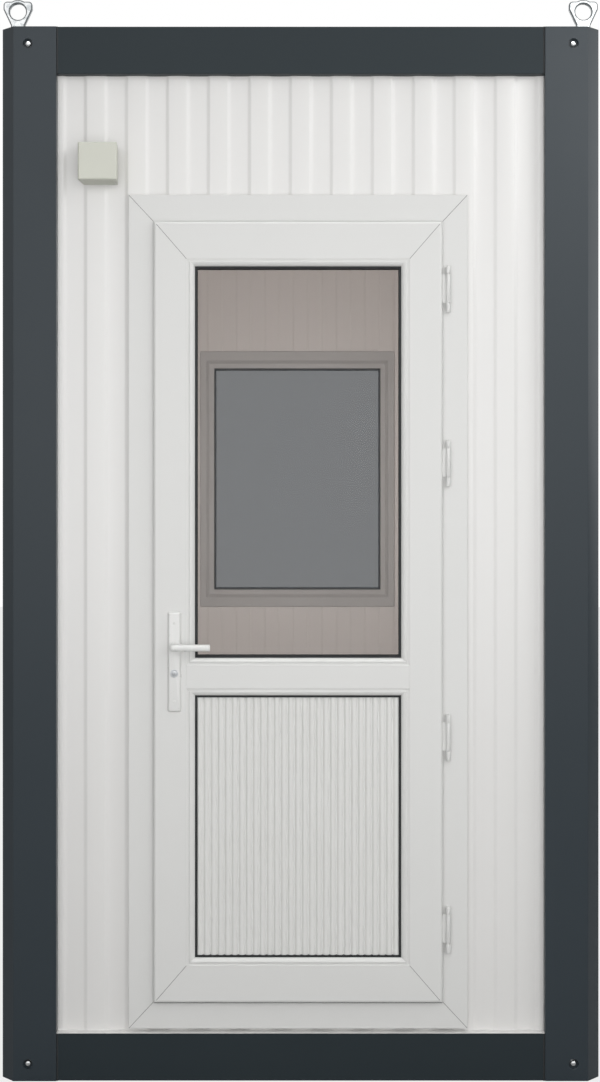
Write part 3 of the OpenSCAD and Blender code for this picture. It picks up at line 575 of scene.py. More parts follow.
def profiler() -> Tree:
    """Build the tree that rolls flat panel skins into their wave profile.

    The outer skin and the lining each move along Y by a wave of X: a flat crest with steep slopes, and over
    it a share of a slow sway that keeps the flats from being quite plane.

    Returns:
        The tree with inputs for both waves and the two materials.
    """
    waves = [(skin, size) for skin in ("Outer", "Lining") for size in Wave.SIZES]
    tree = add_tree("rolled_wall_profile", [
        ("Panel", "NodeSocketGeometry"), *((f"{skin} {size}", "NodeSocketFloat") for skin, size in waves),
        ("Outer Material", "NodeSocketMaterial"), ("Lining Material", "NodeSocketMaterial")])
    ports = add(tree, "NodeGroupInput").outputs
    place = add(tree, "GeometryNodeInputPosition")
    across = add(tree, "ShaderNodeSeparateXYZ", {"Vector": place.outputs["Position"]}).outputs["X"]
    side = add(tree, "GeometryNodeInputNamedAttribute", {"Name": "lining"}, data_type="FLOAT")
    inside = side.outputs["Attribute"]
    outside = calc(tree, "SUBTRACT", 1.0, inside)
    shape = ports["Panel"]
    for skin, share, sign in (("Outer", outside, 1.0), ("Lining", inside, -1.0)):
        pitch = ports[f"{skin} Pitch"]
        half = calc(tree, "MULTIPLY", pitch, 0.5)
        wrapped = calc(tree, "FLOORED_MODULO", calc(tree, "ADD", across, half), pitch)
        away = calc(tree, "ABSOLUTE", calc(tree, "SUBTRACT", wrapped, half))
        edge = calc(tree, "MULTIPLY", ports[f"{skin} Crest"], 0.5)
        foot = calc(tree, "ADD", edge, ports[f"{skin} Slope"])
        depth = calc(tree, "MULTIPLY", ports[f"{skin} Depth"], sign)
        fall = add(tree, "ShaderNodeMapRange", {"Value": away, "From Min": edge, "From Max": foot},
                   interpolation_type="SMOOTHSTEP").outputs["Result"]
        slow = add(tree, "ShaderNodeMapRange", {"Value": away, "From Max": half},
                   interpolation_type="SMOOTHERSTEP").outputs["Result"]
        form = add(tree, "ShaderNodeMix", {0: ports[f"{skin} Sway"], 2: fall, 3: slow},
                   data_type="FLOAT").outputs[0]
        moved = calc(tree, "MULTIPLY", calc(tree, "MULTIPLY", form, depth), share)
        offset = add(tree, "ShaderNodeCombineXYZ", {"Y": moved}).outputs["Vector"]
        shape = add(tree, "GeometryNodeSetPosition", {
            "Geometry": shape, "Offset": offset}).outputs["Geometry"]
    real = add(tree, "GeometryNodeRealizeInstances", {"Geometry": shape}).outputs["Geometry"]
    outer = add(tree, "GeometryNodeSetMaterial", {"Geometry": real, "Material": ports["Outer Material"]})
    chosen = add(tree, "FunctionNodeCompare", {0: inside, 1: 0.5}, data_type="FLOAT",
                 operation="GREATER_THAN")
    lined = add(tree, "GeometryNodeSetMaterial", {
        "Geometry": outer.outputs["Geometry"], "Selection": chosen.outputs["Result"],
        "Material": ports["Lining Material"]})
    add(tree, "NodeGroupOutput", {"Geometry": lined.outputs["Geometry"]})
    return tree


def bridge(shape: bmesh.types.BMesh, low: list, high: list) -> None:
    """Close the band between two loops of as many points."""
    for quad in zip(low, low[1:] + low[:1], high[1:] + high[:1], high):
        shape.faces.new(quad)


def loft(shape: bmesh.types.BMesh, loops: list[list]) -> None:
    """Close a solid round its loops, with a cap on both ends.

    Args:
        shape: The bmesh that holds the points.
        loops: The points of each loop, from one end to the other.
    """
    for low, high in zip(loops, loops[1:]):
        bridge(shape, low, high)
    for end in (loops[0], loops[-1]):
        shape.faces.new(end)


def bmesh_object(name: str, shape: bmesh.types.BMesh, degrees: float) -> Piece:
    """Turn a closed bmesh into an object with its faces outward.

    Args:
        name: The object's name.
        shape: The bmesh, freed afterwards.
        degrees: Edges sharper than this stay sharp.

    Returns:
        The object at the origin.
    """
    bmesh.ops.recalc_face_normals(shape, faces=shape.faces)
    mesh = bpy.data.meshes.new(name)
    shape.to_mesh(mesh)
    shape.free()
    smooth_by_angle(mesh, degrees)
    return new_object(name, mesh)


def bead_lines(name: str, lines: Iterable[Line], width: float, rise: float, finish: Finish) -> Piece:
    """Lay half-round beads along straight lines on flat faces.

    Args:
        name: The piece's name.
        lines: Start and end in metres and the face's outward direction.
        width: Width of a bead in millimetres.
        rise: Height of a bead in millimetres.
        finish: The beads' finish.

    Returns:
        One piece with all beads.
    """
    shape = bmesh.new()
    half, top = width * MM / 2, rise * MM
    for start, end, out in lines:
        aside = (end - start).normalized().cross(out)
        loft(shape, [[shape.verts.new(at + aside * (half * math.cos(a)) + out * (top * math.sin(a)))
                      for a in HALF_ROUND] for at in (start, end)])
    piece = bmesh_object(name, shape, ROUND_ANGLE)
    paint(piece, finish)
    return piece


def turned(name: str, outline: Outline, sides: int) -> Piece:
    """Turn a half outline round Z into a closed shape.

    Args:
        name: The object's name.
        outline: Radius and height of each ring in millimetres, from the foot to the tip on the axis.
        sides: Number of facets round the axis.

    Returns:
        The object at the origin.
    """
    shape = bmesh.new()
    turns = [2 * math.pi * i / sides for i in range(sides)]
    rings = [[shape.verts.new((radius * MM * math.cos(t), radius * MM * math.sin(t), height * MM))
              for t in turns] for radius, height in outline[:-1]]
    tip = shape.verts.new((0, 0, outline[-1][1] * MM))
    for low, high in zip(rings, rings[1:]):
        bridge(shape, low, high)
    for side in zip(rings[-1], rings[-1][1:] + rings[-1][:1]):
        shape.faces.new((*side, tip))
    shape.faces.new(rings[0][::-1])
    return bmesh_object(name, shape, ROUND_ANGLE)


@dataclass
class Fasteners:
    """Sets repeated bolts, screws and caps on their places."""

    tree: Tree = field(default_factory=instancer)

    def place(self, name: str, shape: Piece, places: Iterable[Place], finish: Finish,
              turn: float = 0.0, seed: int = 3) -> Piece:
        """Set one shape on every place.

        Args:
            name: The piece's name.
            shape: The shape with its axis along Z, removed afterwards.
            places: Position in metres and outward axis of each copy.
            finish: The finish of the copies.
            turn: Largest random turn about the axis in radians.
            seed: Seed of the random turn.

        Returns:
            One plain mesh with all copies.
        """
        places = list(places)
        mesh = bpy.data.meshes.new(name)
        mesh.from_pydata([p for p, _ in places], [], [])
        axis = mesh.attributes.new("axis", "FLOAT_VECTOR", "POINT")
        for item, (_, aim) in zip(axis.data, places):
            item.vector = aim
        piece = new_object(name, mesh)
        run_tree(piece, self.tree, {"Shape": shape, "Scale": 1.0, "Turn": turn, "Seed": seed,
                                    "Material": finish.material()})
        mesh = shape.data
        bpy.data.objects.remove(shape)
        bpy.data.meshes.remove(mesh)
        return piece


@dataclass
class SteelFrame:
    """Posts, beams, lifting eyes and the bolts in the post ends.

    Attributes:
        pocket_side: Distance of a bolt from the outer side of its post in millimetres.
        pocket_end: Distance of a bolt from the end of its post in millimetres.
        pocket_deep: Depth of the bolt pockets in millimetres.
        head: Half outline of a bolt head in millimetres.
        seal: Width and height of the dark bead in a beam joint, which paints the shade there, in millimetres.
    """

    pocket_side: float = 63.5
    pocket_end: float = 40.0
    pocket_deep: float = 8.0
    head: Outline = (
        (8.0, 0.0), (8.0, 0.8), (7.4, 1.1), (7.3, 2.6), (6.9, 4.2), (5.7, 5.6), (3.9, 6.6), (2.0, 7.1),
        (0.0, 7.2))
    seal: Pair = (4.0, 0.8)
    posts: tuple[str, ...] = tuple(
        f"corner_post_{y}_{x}" for y in ("front", "back") for x in ("left", "right"))
    beams: tuple[str, ...] = tuple(
        f"{level}_beam_{side}" for level in ("top", "bottom") for side in ("front", "back", "left", "right"))

    def bolt_places(self) -> list[Place]:
        """Return the place and axis of each bolt, on the floor of its pocket."""
        places = []
        for name in self.posts:
            low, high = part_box(name)
            outward = -1.0 if "front" in name else 1.0
            x = low.x + self.pocket_side * MM if "left" in name else high.x - self.pocket_side * MM
            y = (low.y if outward < 0 else high.y) - outward * self.pocket_deep * MM
            for z in (low.z + self.pocket_end * MM, high.z - self.pocket_end * MM):
                places.append(((x, y, z), (0.0, outward, 0.0)))
        return places

    def build(self, fasteners: Fasteners) -> None:
        """Set the bolts into the post ends and lay dark beads in the joints of the beams as painted shade."""
        head = turned("bolt_head", self.head, sides=32)
        bolts = fasteners.place("post_bolts", head, self.bolt_places(), Finishes.BOLT)
        finish_piece(bolts, Body.CABIN, Slot.STEEL)
        # Dark beads in the beam joints paint the shade there.
        seals = bead_lines("beam_joint_seals", self.joint_lines(), *self.seal, Finishes.RUBBER)
        finish_piece(seals, Body.CABIN, Slot.GASKET_RUBBER)

    def joint_lines(self) -> list[Line]:
        """Return the joints between beams and posts, as upright lines on the faces of the beams."""
        lines = []
        inset = self.seal[0] * MM / 2
        for name in self.beams:
            low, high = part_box(name)
            out = Vector((*OUTWARD[name.rsplit("_", 1)[1]], 0))
            for share in (0, 1):
                if out.y:
                    x = high.x - inset if share else low.x + inset
                    foot = Vector((x, low.y if out.y < 0 else high.y, low.z))
                else:
                    y = high.y - inset if share else low.y + inset
                    foot = Vector((low.x if out.x < 0 else high.x, y, low.z))
                lines.append((foot, foot + Vector((0, 0, high.z - low.z)), out))
        return lines

    def dress(self) -> None:
        """Give posts, beams and eyes their finishes and rounded edges."""
        dress_nodes(Finishes.POST, *self.posts, "post_head_plates", "post_foot_plates")
        # The beams get a darker copy of the post coating as painted shade.
        dress_nodes(Finishes.BEAM, *self.beams)
        dress_nodes(Finishes.EYE, "lifting_eyes")
        soften(2.0, *self.posts)
        soften(1.2, *self.beams)
        # The eyes' rounded edges take a darker finish as painted shade.
        soften(3.0, "lifting_eyes", segments=3, edge_finish=Finishes.EYE_EDGE_SHADE, clamp=False)


@dataclass
class RolledSheet:
    """Rolls flat panels into a wave profile on both faces.

    Attributes:
        outer: Wave of the outer face.
        lining: Wave of the inner face.
        outer_finish: Finish of the outer face.
        lining_finish: Finish of the inner face.
        columns: Facets across one pitch of the outer wave.
    """

    outer: Wave
    lining: Wave
    outer_finish: Finish
    lining_finish: Finish
    columns: int = 60
    tree: Tree = field(default_factory=profiler)

    def roll(self, name: str, low: Vector, high: Vector, hole: Optional[tuple[float, float, float, float]],
             place: Callable[[float, float, float], Point]) -> Piece:
        """Roll one panel and set it in its place.

        Args:
            name: The piece's name.
            low: Lowest corner with X across the waves, Y from the crests inwards and Z up, in metres.
            high: Highest corner in the same directions.
            hole: Left, right, bottom and top of the opening in metres, if the panel has one.
            place: Turns a point of that panel into the cabin's frame.

        Returns:
            The rolled panel.
        """
        cut = hole or (low.x, low.x, low.z, high.z)
        step = self.outer.pitch * MM / self.columns
        first, last = math.ceil(low.x / step), math.floor(high.x / step)
        xs = sorted({low.x, high.x, *(i * step for i in range(first, last + 1)), *cut[:2]})
        zs = sorted({low.z, high.z, *cut[2:]})
        grid = {(i, k, s): (x, low.y if s == 0 else high.y, z)
                for i, x in enumerate(xs) for k, z in enumerate(zs) for s in (0, 1)}
        keys = list(grid)
        number = {key: n for n, key in enumerate(keys)}
        held = {(i, k) for i in range(len(xs) - 1) for k in range(len(zs) - 1)
                if not (hole and cut[0] <= xs[i] < cut[1] and cut[2] <= zs[k] < cut[3])}
        faces = []
        for i, k in held:
            corners = [(i, k), (i + 1, k), (i + 1, k + 1), (i, k + 1)]
            faces.append([(*c, 0) for c in corners])
            faces.append([(*c, 1) for c in reversed(corners)])
            for (a, b), beside in zip(zip(corners, corners[1:] + corners[:1]),
                                      ((i, k - 1), (i + 1, k), (i, k + 1), (i - 1, k))):
                if beside not in held:
                    faces.append([(*b, 0), (*a, 0), (*a, 1), (*b, 1)])
        mesh = bpy.data.meshes.new(name)
        mesh.from_pydata([grid[key] for key in keys], [], [[number[c] for c in face] for face in faces])
        side = mesh.attributes.new("lining", "FLOAT", "POINT")
        side.data.foreach_set("value", [float(s) for _, _, s in keys])
        piece = new_object(name, mesh)
        run_tree(piece, self.tree, {
            **self.outer.inputs("Outer"), **self.lining.inputs("Lining"),
            "Outer Material": self.outer_finish.material(), "Lining Material": self.lining_finish.material()})
        for vertex in piece.data.vertices:
            vertex.co = place(*vertex.co)
        smooth_by_angle(piece.data, 30)
        return piece


@dataclass
class WallCladding:
    """Profiled sandwich walls, rolled in one piece each, with their openings and foot trims.

    Attributes:
        outer: Wave of the outer sheet.
        lining: Wave of the lining.
        trim_in: Reach of a foot trim behind the crests in millimetres.
        trim_edge: Distance of a foot trim from the edge of its beam in millimetres.
        trim_rise: Thickness of a foot trim in millimetres.
        trim_bevel: Share of the thickness below a trim's bevel, and the bevel's width in millimetres.
        window_seal: Reach of the back sheets into the gap round the window in millimetres.
    """

    outer: Wave = Wave(96.2, 38.0, 10.5, 4.4, 0.4)
    lining: Wave = Wave(85.6, 37.0, 6.0, 1.5)
    trim_in: float = 12.0
    trim_edge: float = 1.5
    trim_rise: float = 1.0
    trim_bevel: Pair = (0.6, 0.6)
    window_seal: float = 1.9

    def trims(self) -> None:
        """Lay a folded trim on each bottom beam, from the wall's foot to the beam's edge."""
        shape = bmesh.new()
        share, bevel = self.trim_bevel
        for side, out in OUTWARD.items():
            low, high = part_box(f"bottom_beam_{side}")
            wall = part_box(f"{side}_wall" if out[0] else f"{side}_wall_left")
            axis = 0 if out[0] else 1
            far = (low if out[axis] < 0 else high)[axis] - out[axis] * self.trim_edge * MM
            near = (wall[0] if out[axis] < 0 else wall[1])[axis] - out[axis] * self.trim_in * MM
            top = high.z + self.trim_rise * MM
            across = ((near, high.z), (far, high.z), (far, high.z + share * self.trim_rise * MM),
                      (far - out[axis] * bevel * MM, top), (near, top))
            ends = (low[1 - axis], high[1 - axis])
            loft(shape, [[shape.verts.new((u, along, z) if axis == 0 else (along, u, z)) for u, z in across]
                         for along in ends])
        piece = bmesh_object("wall_foot_trims", shape, degrees=20)
        paint(piece, Finishes.SHEET)
        finish_piece(piece, Body.CABIN, Slot.WALL_SHEET)

    def build(self) -> None:
        """Roll the four walls and lay their trims."""
        sheet = RolledSheet(self.outer, self.lining, Finishes.SHEET, Finishes.LINING)
        front, back = ([f"{side}_wall_{part}" for part in ("left", "right", "head", "sill")]
                       for side in ("front", "back"))
        left, right, head, sill = (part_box(name) for name in front)
        hole = (left[1].x, right[0].x, sill[1].z, head[0].z)
        made = sheet.roll("front_cladding", left[0], right[1], hole, lambda x, y, z: (x, y, z))
        finish_piece(made, Body.CABIN, Slot.WALL_SHEET, *front)
        left, right, head, sill = (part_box(name) for name in back)
        seal = self.window_seal * MM
        hole = (seal - right[0].x, -seal - left[1].x, sill[1].z + seal, head[0].z - seal)
        made = sheet.roll("back_cladding", Vector((-right[1].x, -right[1].y, right[0].z)),
                          Vector((-left[0].x, -left[0].y, left[1].z)), hole, lambda x, y, z: (-x, -y, z))
        finish_piece(made, Body.CABIN, Slot.WALL_SHEET, *back)
        for side, turn in (("left", 1), ("right", -1)):
            low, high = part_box(f"{side}_wall")
            crest, inner = (low.x, high.x) if turn > 0 else (-high.x, -low.x)
            made = sheet.roll(f"{side}_cladding", Vector((low.y, crest, low.z)),
                              Vector((high.y, inner, high.z)), None,
                              lambda x, y, z: (turn * y, -turn * x, z))
            finish_piece(made, Body.CABIN, Slot.WALL_SHEET, f"{side}_wall")
        self.trims()


@dataclass
class RoofAndFloor:
    """Roof sheet, ceiling, floor board and what lies under it."""

    def dress(self) -> None:
        """Give the sheets and boards their finishes."""
        dress_nodes(Finishes.ZINC, "roof_sheet", "underfloor_sheets", "floor_joists")
        dress_nodes(Finishes.LINING, "ceiling_panel")
        dress_nodes(Finishes.FLOOR, "floor_board")
        soften(0.8, "roof_sheet")


@dataclass
class DoorSet:
    """Door frame, leaf, glazing and hinges.

    Attributes:
        cap: Half outline of the cap on a hinge end in millimetres.
        rib: Wave of the ribbed lower panel.
        leaf_seam: First and last corner offset of the leaf's welded seams along X and Z in millimetres.
        frame_seam: The same for the door frame.
        seam: Width and height of a seam in millimetres.
        groove_shade: Width and height of the grey beads that paint the shade in the grooves, in millimetres.
        groove_shade_off: Distance of those beads from a pane along X and Z and behind the leaf's face in
            millimetres.
        seal: Width and height of the dark rubber bead under the leaf, which paints the shade in the gap
            there, in millimetres.
        seal_drop: Distance of the seal below the leaf in millimetres.
        hinge_apart: Least height between two hinges in millimetres.
    """

    cap: Outline = ((5.2, 0.0), (5.0, 0.8), (4.2, 1.6), (2.8, 2.1), (1.4, 2.3), (0.0, 2.4))
    rib: Wave = Wave(16.4, 6.4, 4.6, 4.2)
    leaf_seam: tuple[float, float, float, float] = (7.0, 7.0, 77.0, 87.5)
    frame_seam: tuple[float, float, float, float] = (1.0, 1.0, 66.5, 71.2)
    seam: Pair = (1.3, 0.12)
    groove_shade: Pair = (4.6, 0.5)
    groove_shade_off: Point = (16.2, 13.9, 2.5)
    seal: Pair = (2.6, 0.8)
    seal_drop: float = 3.0
    hinge_apart: float = 100.0
    frame_members: tuple[str, ...] = tuple(f"door_frame_{part}" for part in ("left", "right", "head", "sill"))
    leaf_members: tuple[str, ...] = (
        "door_stile_lock", "door_stile_hinge", "door_rail_top", "door_rail_middle", "door_rail_bottom")

    def hinge_ends(self) -> list[Place]:
        """Return the top and bottom ends of the hinge barrels with their outward axes."""
        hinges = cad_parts["frame_hinges"].data
        low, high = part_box("door_hinges")
        radius = self.cap[0][0] * MM
        barrel = (high.x - radius, low.y + radius)
        levels = sorted({round(v.co.z, 4) for v in hinges.vertices})
        groups: list[list[float]] = []
        for z in levels:
            if groups and z - groups[-1][-1] < self.hinge_apart * MM:
                groups[-1].append(z)
            else:
                groups.append([z])
        ends = []
        for group in groups:
            ends.append(((*barrel, group[-1]), (0.0, 0.0, 1.0)))
            ends.append(((*barrel, group[0]), (0.0, 0.0, -1.0)))
        return ends

    def build(self, fasteners: Fasteners) -> None:
        """Set caps on the hinge ends, roll the lower panel and lay the seams, with grey beads in the grooves
        and a dark bead under the leaf as painted shade.
        """
        cap = turned("hinge_cap", self.cap, sides=24)
        caps = fasteners.place("hinge_caps", cap, self.hinge_ends(), Finishes.PROFILE)
        finish_piece(caps, Body.CABIN, Slot.DOOR_PLASTIC)
        low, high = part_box("door_panel")
        middle = Vector(((low.x + high.x) / 2, 0, 0))
        sheet = RolledSheet(self.rib, self.rib, Finishes.PANEL, Finishes.PANEL, columns=16)
        panel = sheet.roll("ribbed_door_panel", low - middle, high - middle, None,
                           lambda x, y, z: (x + middle.x, y, z))
        finish_piece(panel, Body.DOOR, Slot.DOOR_PLASTIC, "door_panel")
        for name, body, members, offsets in (
                ("leaf_seams", Body.DOOR, self.leaf_members, self.leaf_seam),
                ("frame_seams", Body.CABIN, self.frame_members, self.frame_seam)):
            # The seams' darker grey paints the shade in the machined grooves at the mitres.
            seams = bead_lines(name, self.seam_lines(members, offsets), *self.seam, Finishes.SEAM_SHADE)
            finish_piece(seams, body, Slot.DOOR_PLASTIC)
        # Grey beads in the grooves round the glass and the panel are painted shade.
        groove_shades = bead_lines("groove_lips", self.groove_shade_lines(), *self.groove_shade, Finishes.GROOVE_SHADE)
        finish_piece(groove_shades, Body.DOOR, Slot.DOOR_PLASTIC)
        # A dark rubber bead under the leaf paints the shade in the gap below it.
        low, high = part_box("door_rail_bottom")
        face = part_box("door_frame_sill")[0].y
        ends = [Vector((x, face, low.z - self.seal_drop * MM)) for x in (low.x, high.x)]
        seal = bead_lines("sill_seal", [(*ends, FRONT)], *self.seal, Finishes.RUBBER)
        finish_piece(seal, Body.CABIN, Slot.GASKET_RUBBER)

    def groove_shade_lines(self) -> list[Line]:
        """Return the grooves round the glass and the lower panel, on the leaf's front."""
        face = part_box(self.leaf_members[0])[0].y
        aside, up, back = (size * MM for size in self.groove_shade_off)
        lines = []
        for name in ("door_glass", "door_panel"):
            low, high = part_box(name)
            x0, x1, z0, z1 = low.x - aside, high.x + aside, low.z - up, high.z + up
            corners = [Vector((x, face + back, z)) for x, z in ((x0, z0), (x1, z0), (x1, z1), (x0, z1))]
            lines += [(a, b, FRONT) for a, b in zip(corners, corners[1:] + corners[:1])]
        return lines

    @staticmethod
    def seam_lines(members: Sequence[str], offsets: Sequence[float]) -> list[Line]:
        """Return the mitred corners of a frame, on its front face.

        Args:
            members: CAD nodes of the frame.
            offsets: Start and end from the corner along X and Z in millimetres.

        Returns:
            Start, end and outward direction of each seam.
        """
        boxes = [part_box(name) for name in members]
        low = [min(box[0][axis] for box in boxes) for axis in range(3)]
        high = [max(box[1][axis] for box in boxes) for axis in range(3)]
        lines = []
        for x, sx in ((low[0], MM), (high[0], -MM)):
            for z, sz in ((low[2], MM), (high[2], -MM)):
                ends = [Vector((x + sx * u, low[1], z + sz * w)) for u, w in (offsets[:2], offsets[2:])]
                lines.append((*ends, FRONT))
        return lines

    def dress(self) -> None:
        """Give frame, leaf, panes and gaskets their finishes and soft edges."""
        dress_nodes(Finishes.PROFILE, *self.frame_members, *self.leaf_members, "frame_hinges", "door_hinges")
        dress_nodes(Finishes.RUBBER, "door_gaskets")
        dress_nodes(Finishes.DOOR_GLASS, "door_glass")
        soften(0.9, *self.frame_members, *self.leaf_members)
        soften(0.5, "frame_hinges", "door_hinges")


@dataclass
class HandleSet:
    """Lever handle with its plates, screws and lock.

    Attributes:
        plate_slope: Width of the sloped rim of a plate in millimetres.
        plate_rim: Height of the upright edge below the slope in millimetres.
        plate_curve: Shares of the slope and of the rim at two points of the rounded slope.
        corner: Corner radius of a plate in millimetres.
        least_corner: Smallest corner radius inside the rim in millimetres.
        screw_in: Distances of the screws from the plate's top and bottom in millimetres.
        screw: Half outline of a screw head in millimetres.
        rotor: Half outline of the lock's plug in millimetres.
        key_slot: Width and height of the key slot in millimetres.
        slot_rings: Scale of the key slot's rings and their height over the plug in millimetres.
        screw_turn: Largest turn of a screw in radians.
    """

    plate_slope: float = 4.5
    plate_rim: float = 2.0
    plate_curve: tuple[Pair, Pair] = ((0.42, 0.3), (0.8, 0.2))
    corner: float = 5.0
    least_corner: float = 1.2
    screw_in: Pair = (25.5, 25.0)
    screw: Outline = (
        (3.6, -0.6), (3.6, 0.1), (3.2, 0.35), (2.3, 0.5), (1.0, 0.45), (0.9, -0.3), (0.0, -0.3))
    rotor: Outline = ((6.2, -0.3), (6.2, 0.3), (5.8, 0.6), (0.0, 0.6))
    key_slot: Pair = (1.3, 6.0)
    slot_rings: Outline = ((1.0, -0.05), (1.0, 0.04), (0.8, 0.06))
    screw_turn: float = 1.5

    def plates(self) -> None:
        """Press both plates with a sloped rim round a flat face."""
        low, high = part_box("handle_plates")
        leaf_low, leaf_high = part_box("door_stile_lock")
        shape = bmesh.new()
        for foot, face in ((leaf_low.y, low.y), (leaf_high.y, high.y)):
            rise = face - foot
            rim = math.copysign(self.plate_rim * MM, rise)
            mid = (rim + rise) / 2
            (low_in, low_up), (high_in, high_up) = self.plate_curve
            steps = ((0.0, 0.0), (0.0, rim), (self.plate_slope * low_in, mid + rim * low_up),
                     (self.plate_slope * high_in, rise - rim * high_up), (self.plate_slope, rise))
            loft(shape, [[shape.verts.new((x, foot + out, z)) for x, z in self.outline(low, high, inset)]
                         for inset, out in steps])
        piece = bmesh_object("pressed_handle_plates", shape, degrees=35)
        paint(piece, Finishes.PLATE)
        finish_piece(piece, Body.DOOR, Slot.HANDLE_COATING, "handle_plates")

    def outline(self, low: Vector, high: Vector, inset: float) -> list[Pair]:
        """Return the rounded outline of a plate in X and Z, drawn in from its edge.

        Args:
            low: Lowest corner of the plates.
            high: Highest corner of the plates.
            inset: Distance from the edge in millimetres.

        Returns:
            Points in metres, anticlockwise seen from the front.
        """
        r = max(self.corner - inset, self.least_corner) * MM
        edge = inset * MM
        x0, x1, z0, z1 = low.x + edge, high.x - edge, low.z + edge, high.z - edge
        turns = ((x1 - r, z1 - r, 0), (x0 + r, z1 - r, 90), (x0 + r, z0 + r, 180), (x1 - r, z0 + r, 270))
        return [(x + r * math.cos(math.radians(start + a)), z + r * math.sin(math.radians(start + a)))
                for x, z, start in turns for a in range(0, 91, 15)]

    def build(self, fasteners: Fasteners) -> None:
        """Press the plates, set screws into them and give the lock its plug and key slot."""
        self.plates()
        low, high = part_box("handle_plates")
        middle = (low.x + high.x) / 2
        heights = (high.z - self.screw_in[0] * MM, low.z + self.screw_in[1] * MM)
        sides = ((low.y, -1.0), (high.y, 1.0))
        places = [((middle, y, z), (0.0, aim, 0.0)) for y, aim in sides for z in heights]
        screw = turned("screw_head", self.screw, sides=20)
        screws = fasteners.place("handle_screws", screw, places, Finishes.PLATE, self.screw_turn)
        finish_piece(screws, Body.DOOR, Slot.HANDLE_COATING)
        low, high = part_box("lock_cylinder")
        lock_z = (low.z + high.z) / 2
        faces = [((middle, y, lock_z), (0.0, aim, 0.0)) for y, aim in ((low.y, -1.0), (high.y, 1.0))]
        plug = turned("lock_plug", self.rotor, sides=28)
        rotors = fasteners.place("lock_plugs", plug, faces, Finishes.NICKEL)
        finish_piece(rotors, Body.DOOR, Slot.LOCK_NICKEL)
        # The key slots' darker metal is painted shade in the slots.
        slots = fasteners.place("key_slots", self.slot_shape(), faces, Finishes.KEY_SLOT_SHADE)
        finish_piece(slots, Body.DOOR, Slot.LOCK_NICKEL)

    def slot_shape(self) -> Piece:
        """Make the key slot as a thin rounded bar that lies on the lock's plug."""
        wide, tall = (size * MM / 2 for size in self.key_slot)
        top = self.rotor[-1][1] * MM
        ring = [(wide * math.cos(a), tall - wide + wide * math.sin(a)) for a in HALF_ROUND]
        ring += [(-x, -y) for x, y in ring]
        shape = bmesh.new()
        loft(shape, [[shape.verts.new((x * f, y * f, top + z * MM)) for x, y in ring]
                     for f, z in self.slot_rings])
        return bmesh_object("key_slot", shape, degrees=0)

    def dress(self) -> None:
        """Give levers and lock their finishes."""
        dress_nodes(Finishes.ENAMEL, "lever_outside", "lever_inside")
        dress_nodes(Finishes.NICKEL, "lock_cylinder")
        soften(0.6, "lock_cylinder")


@dataclass
class BackWindow:
    """Fixed window in the back wall."""

    def dress(self) -> None:
        """Give frame, sash, gasket and glass their finishes."""
        dress_nodes(Finishes.WINDOW_PROFILE, "window_frame", "window_sash")
        dress_nodes(Finishes.GREY_RUBBER, "window_gasket")
        dress_nodes(Finishes.WINDOW_GLASS, "window_glass")
        soften(3.0, "window_frame", segments=3)
        soften(1.2, "window_sash")


@dataclass
class VentHood:
    """Moulded hood at the upper left of the front."""

    def dress(self) -> None:
        """Give the hood its finish and soft edges."""
        dress_nodes(Finishes.HOOD, "vent_hood")
        soften(1.6, "vent_hood", segments=3)


@dataclass(frozen=True)
class Lamp:
    """A soft area lamp.

    Attributes:
        name: The lamp's name.
        place: Where it hangs, in metres.
        target: The point that it faces.
        size: Width and height in metres.
        watts: Its power.
        use: Whether it lights surfaces or shows in their gloss.
        colour: Its light in sRGB hex.
        spread: Opening angle of its grid in degrees.
    """

    name: str
    place: Point
    target: Point
    size: Pair
    watts: float
    use: LampUse = LampUse.LIGHT
    colour: str = "#ffffff"
    spread: float = 180.0

    def hang(self) -> None:
        """Put the lamp into the scene, out of the camera's sight."""
        data = bpy.data.lights.new(self.name, "AREA")
        data.shape, data.size, data.size_y = "RECTANGLE", *self.size
        data.energy, data.spread = self.watts, math.radians(self.spread)
        data.color = linear(self.colour)[:3]
        lamp = bpy.data.objects.new(self.name, data)
        lamp.location = self.place
        aim = Vector(self.target) - Vector(self.place)
        lamp.rotation_euler = aim.to_track_quat("-Z", "Y").to_euler()
        lamp.visible_camera = False
        lamp.visible_glossy = self.use is LampUse.SHEEN
        lamp.visible_diffuse = self.use is LampUse.LIGHT
        bpy.context.scene.collection.objects.link(lamp)


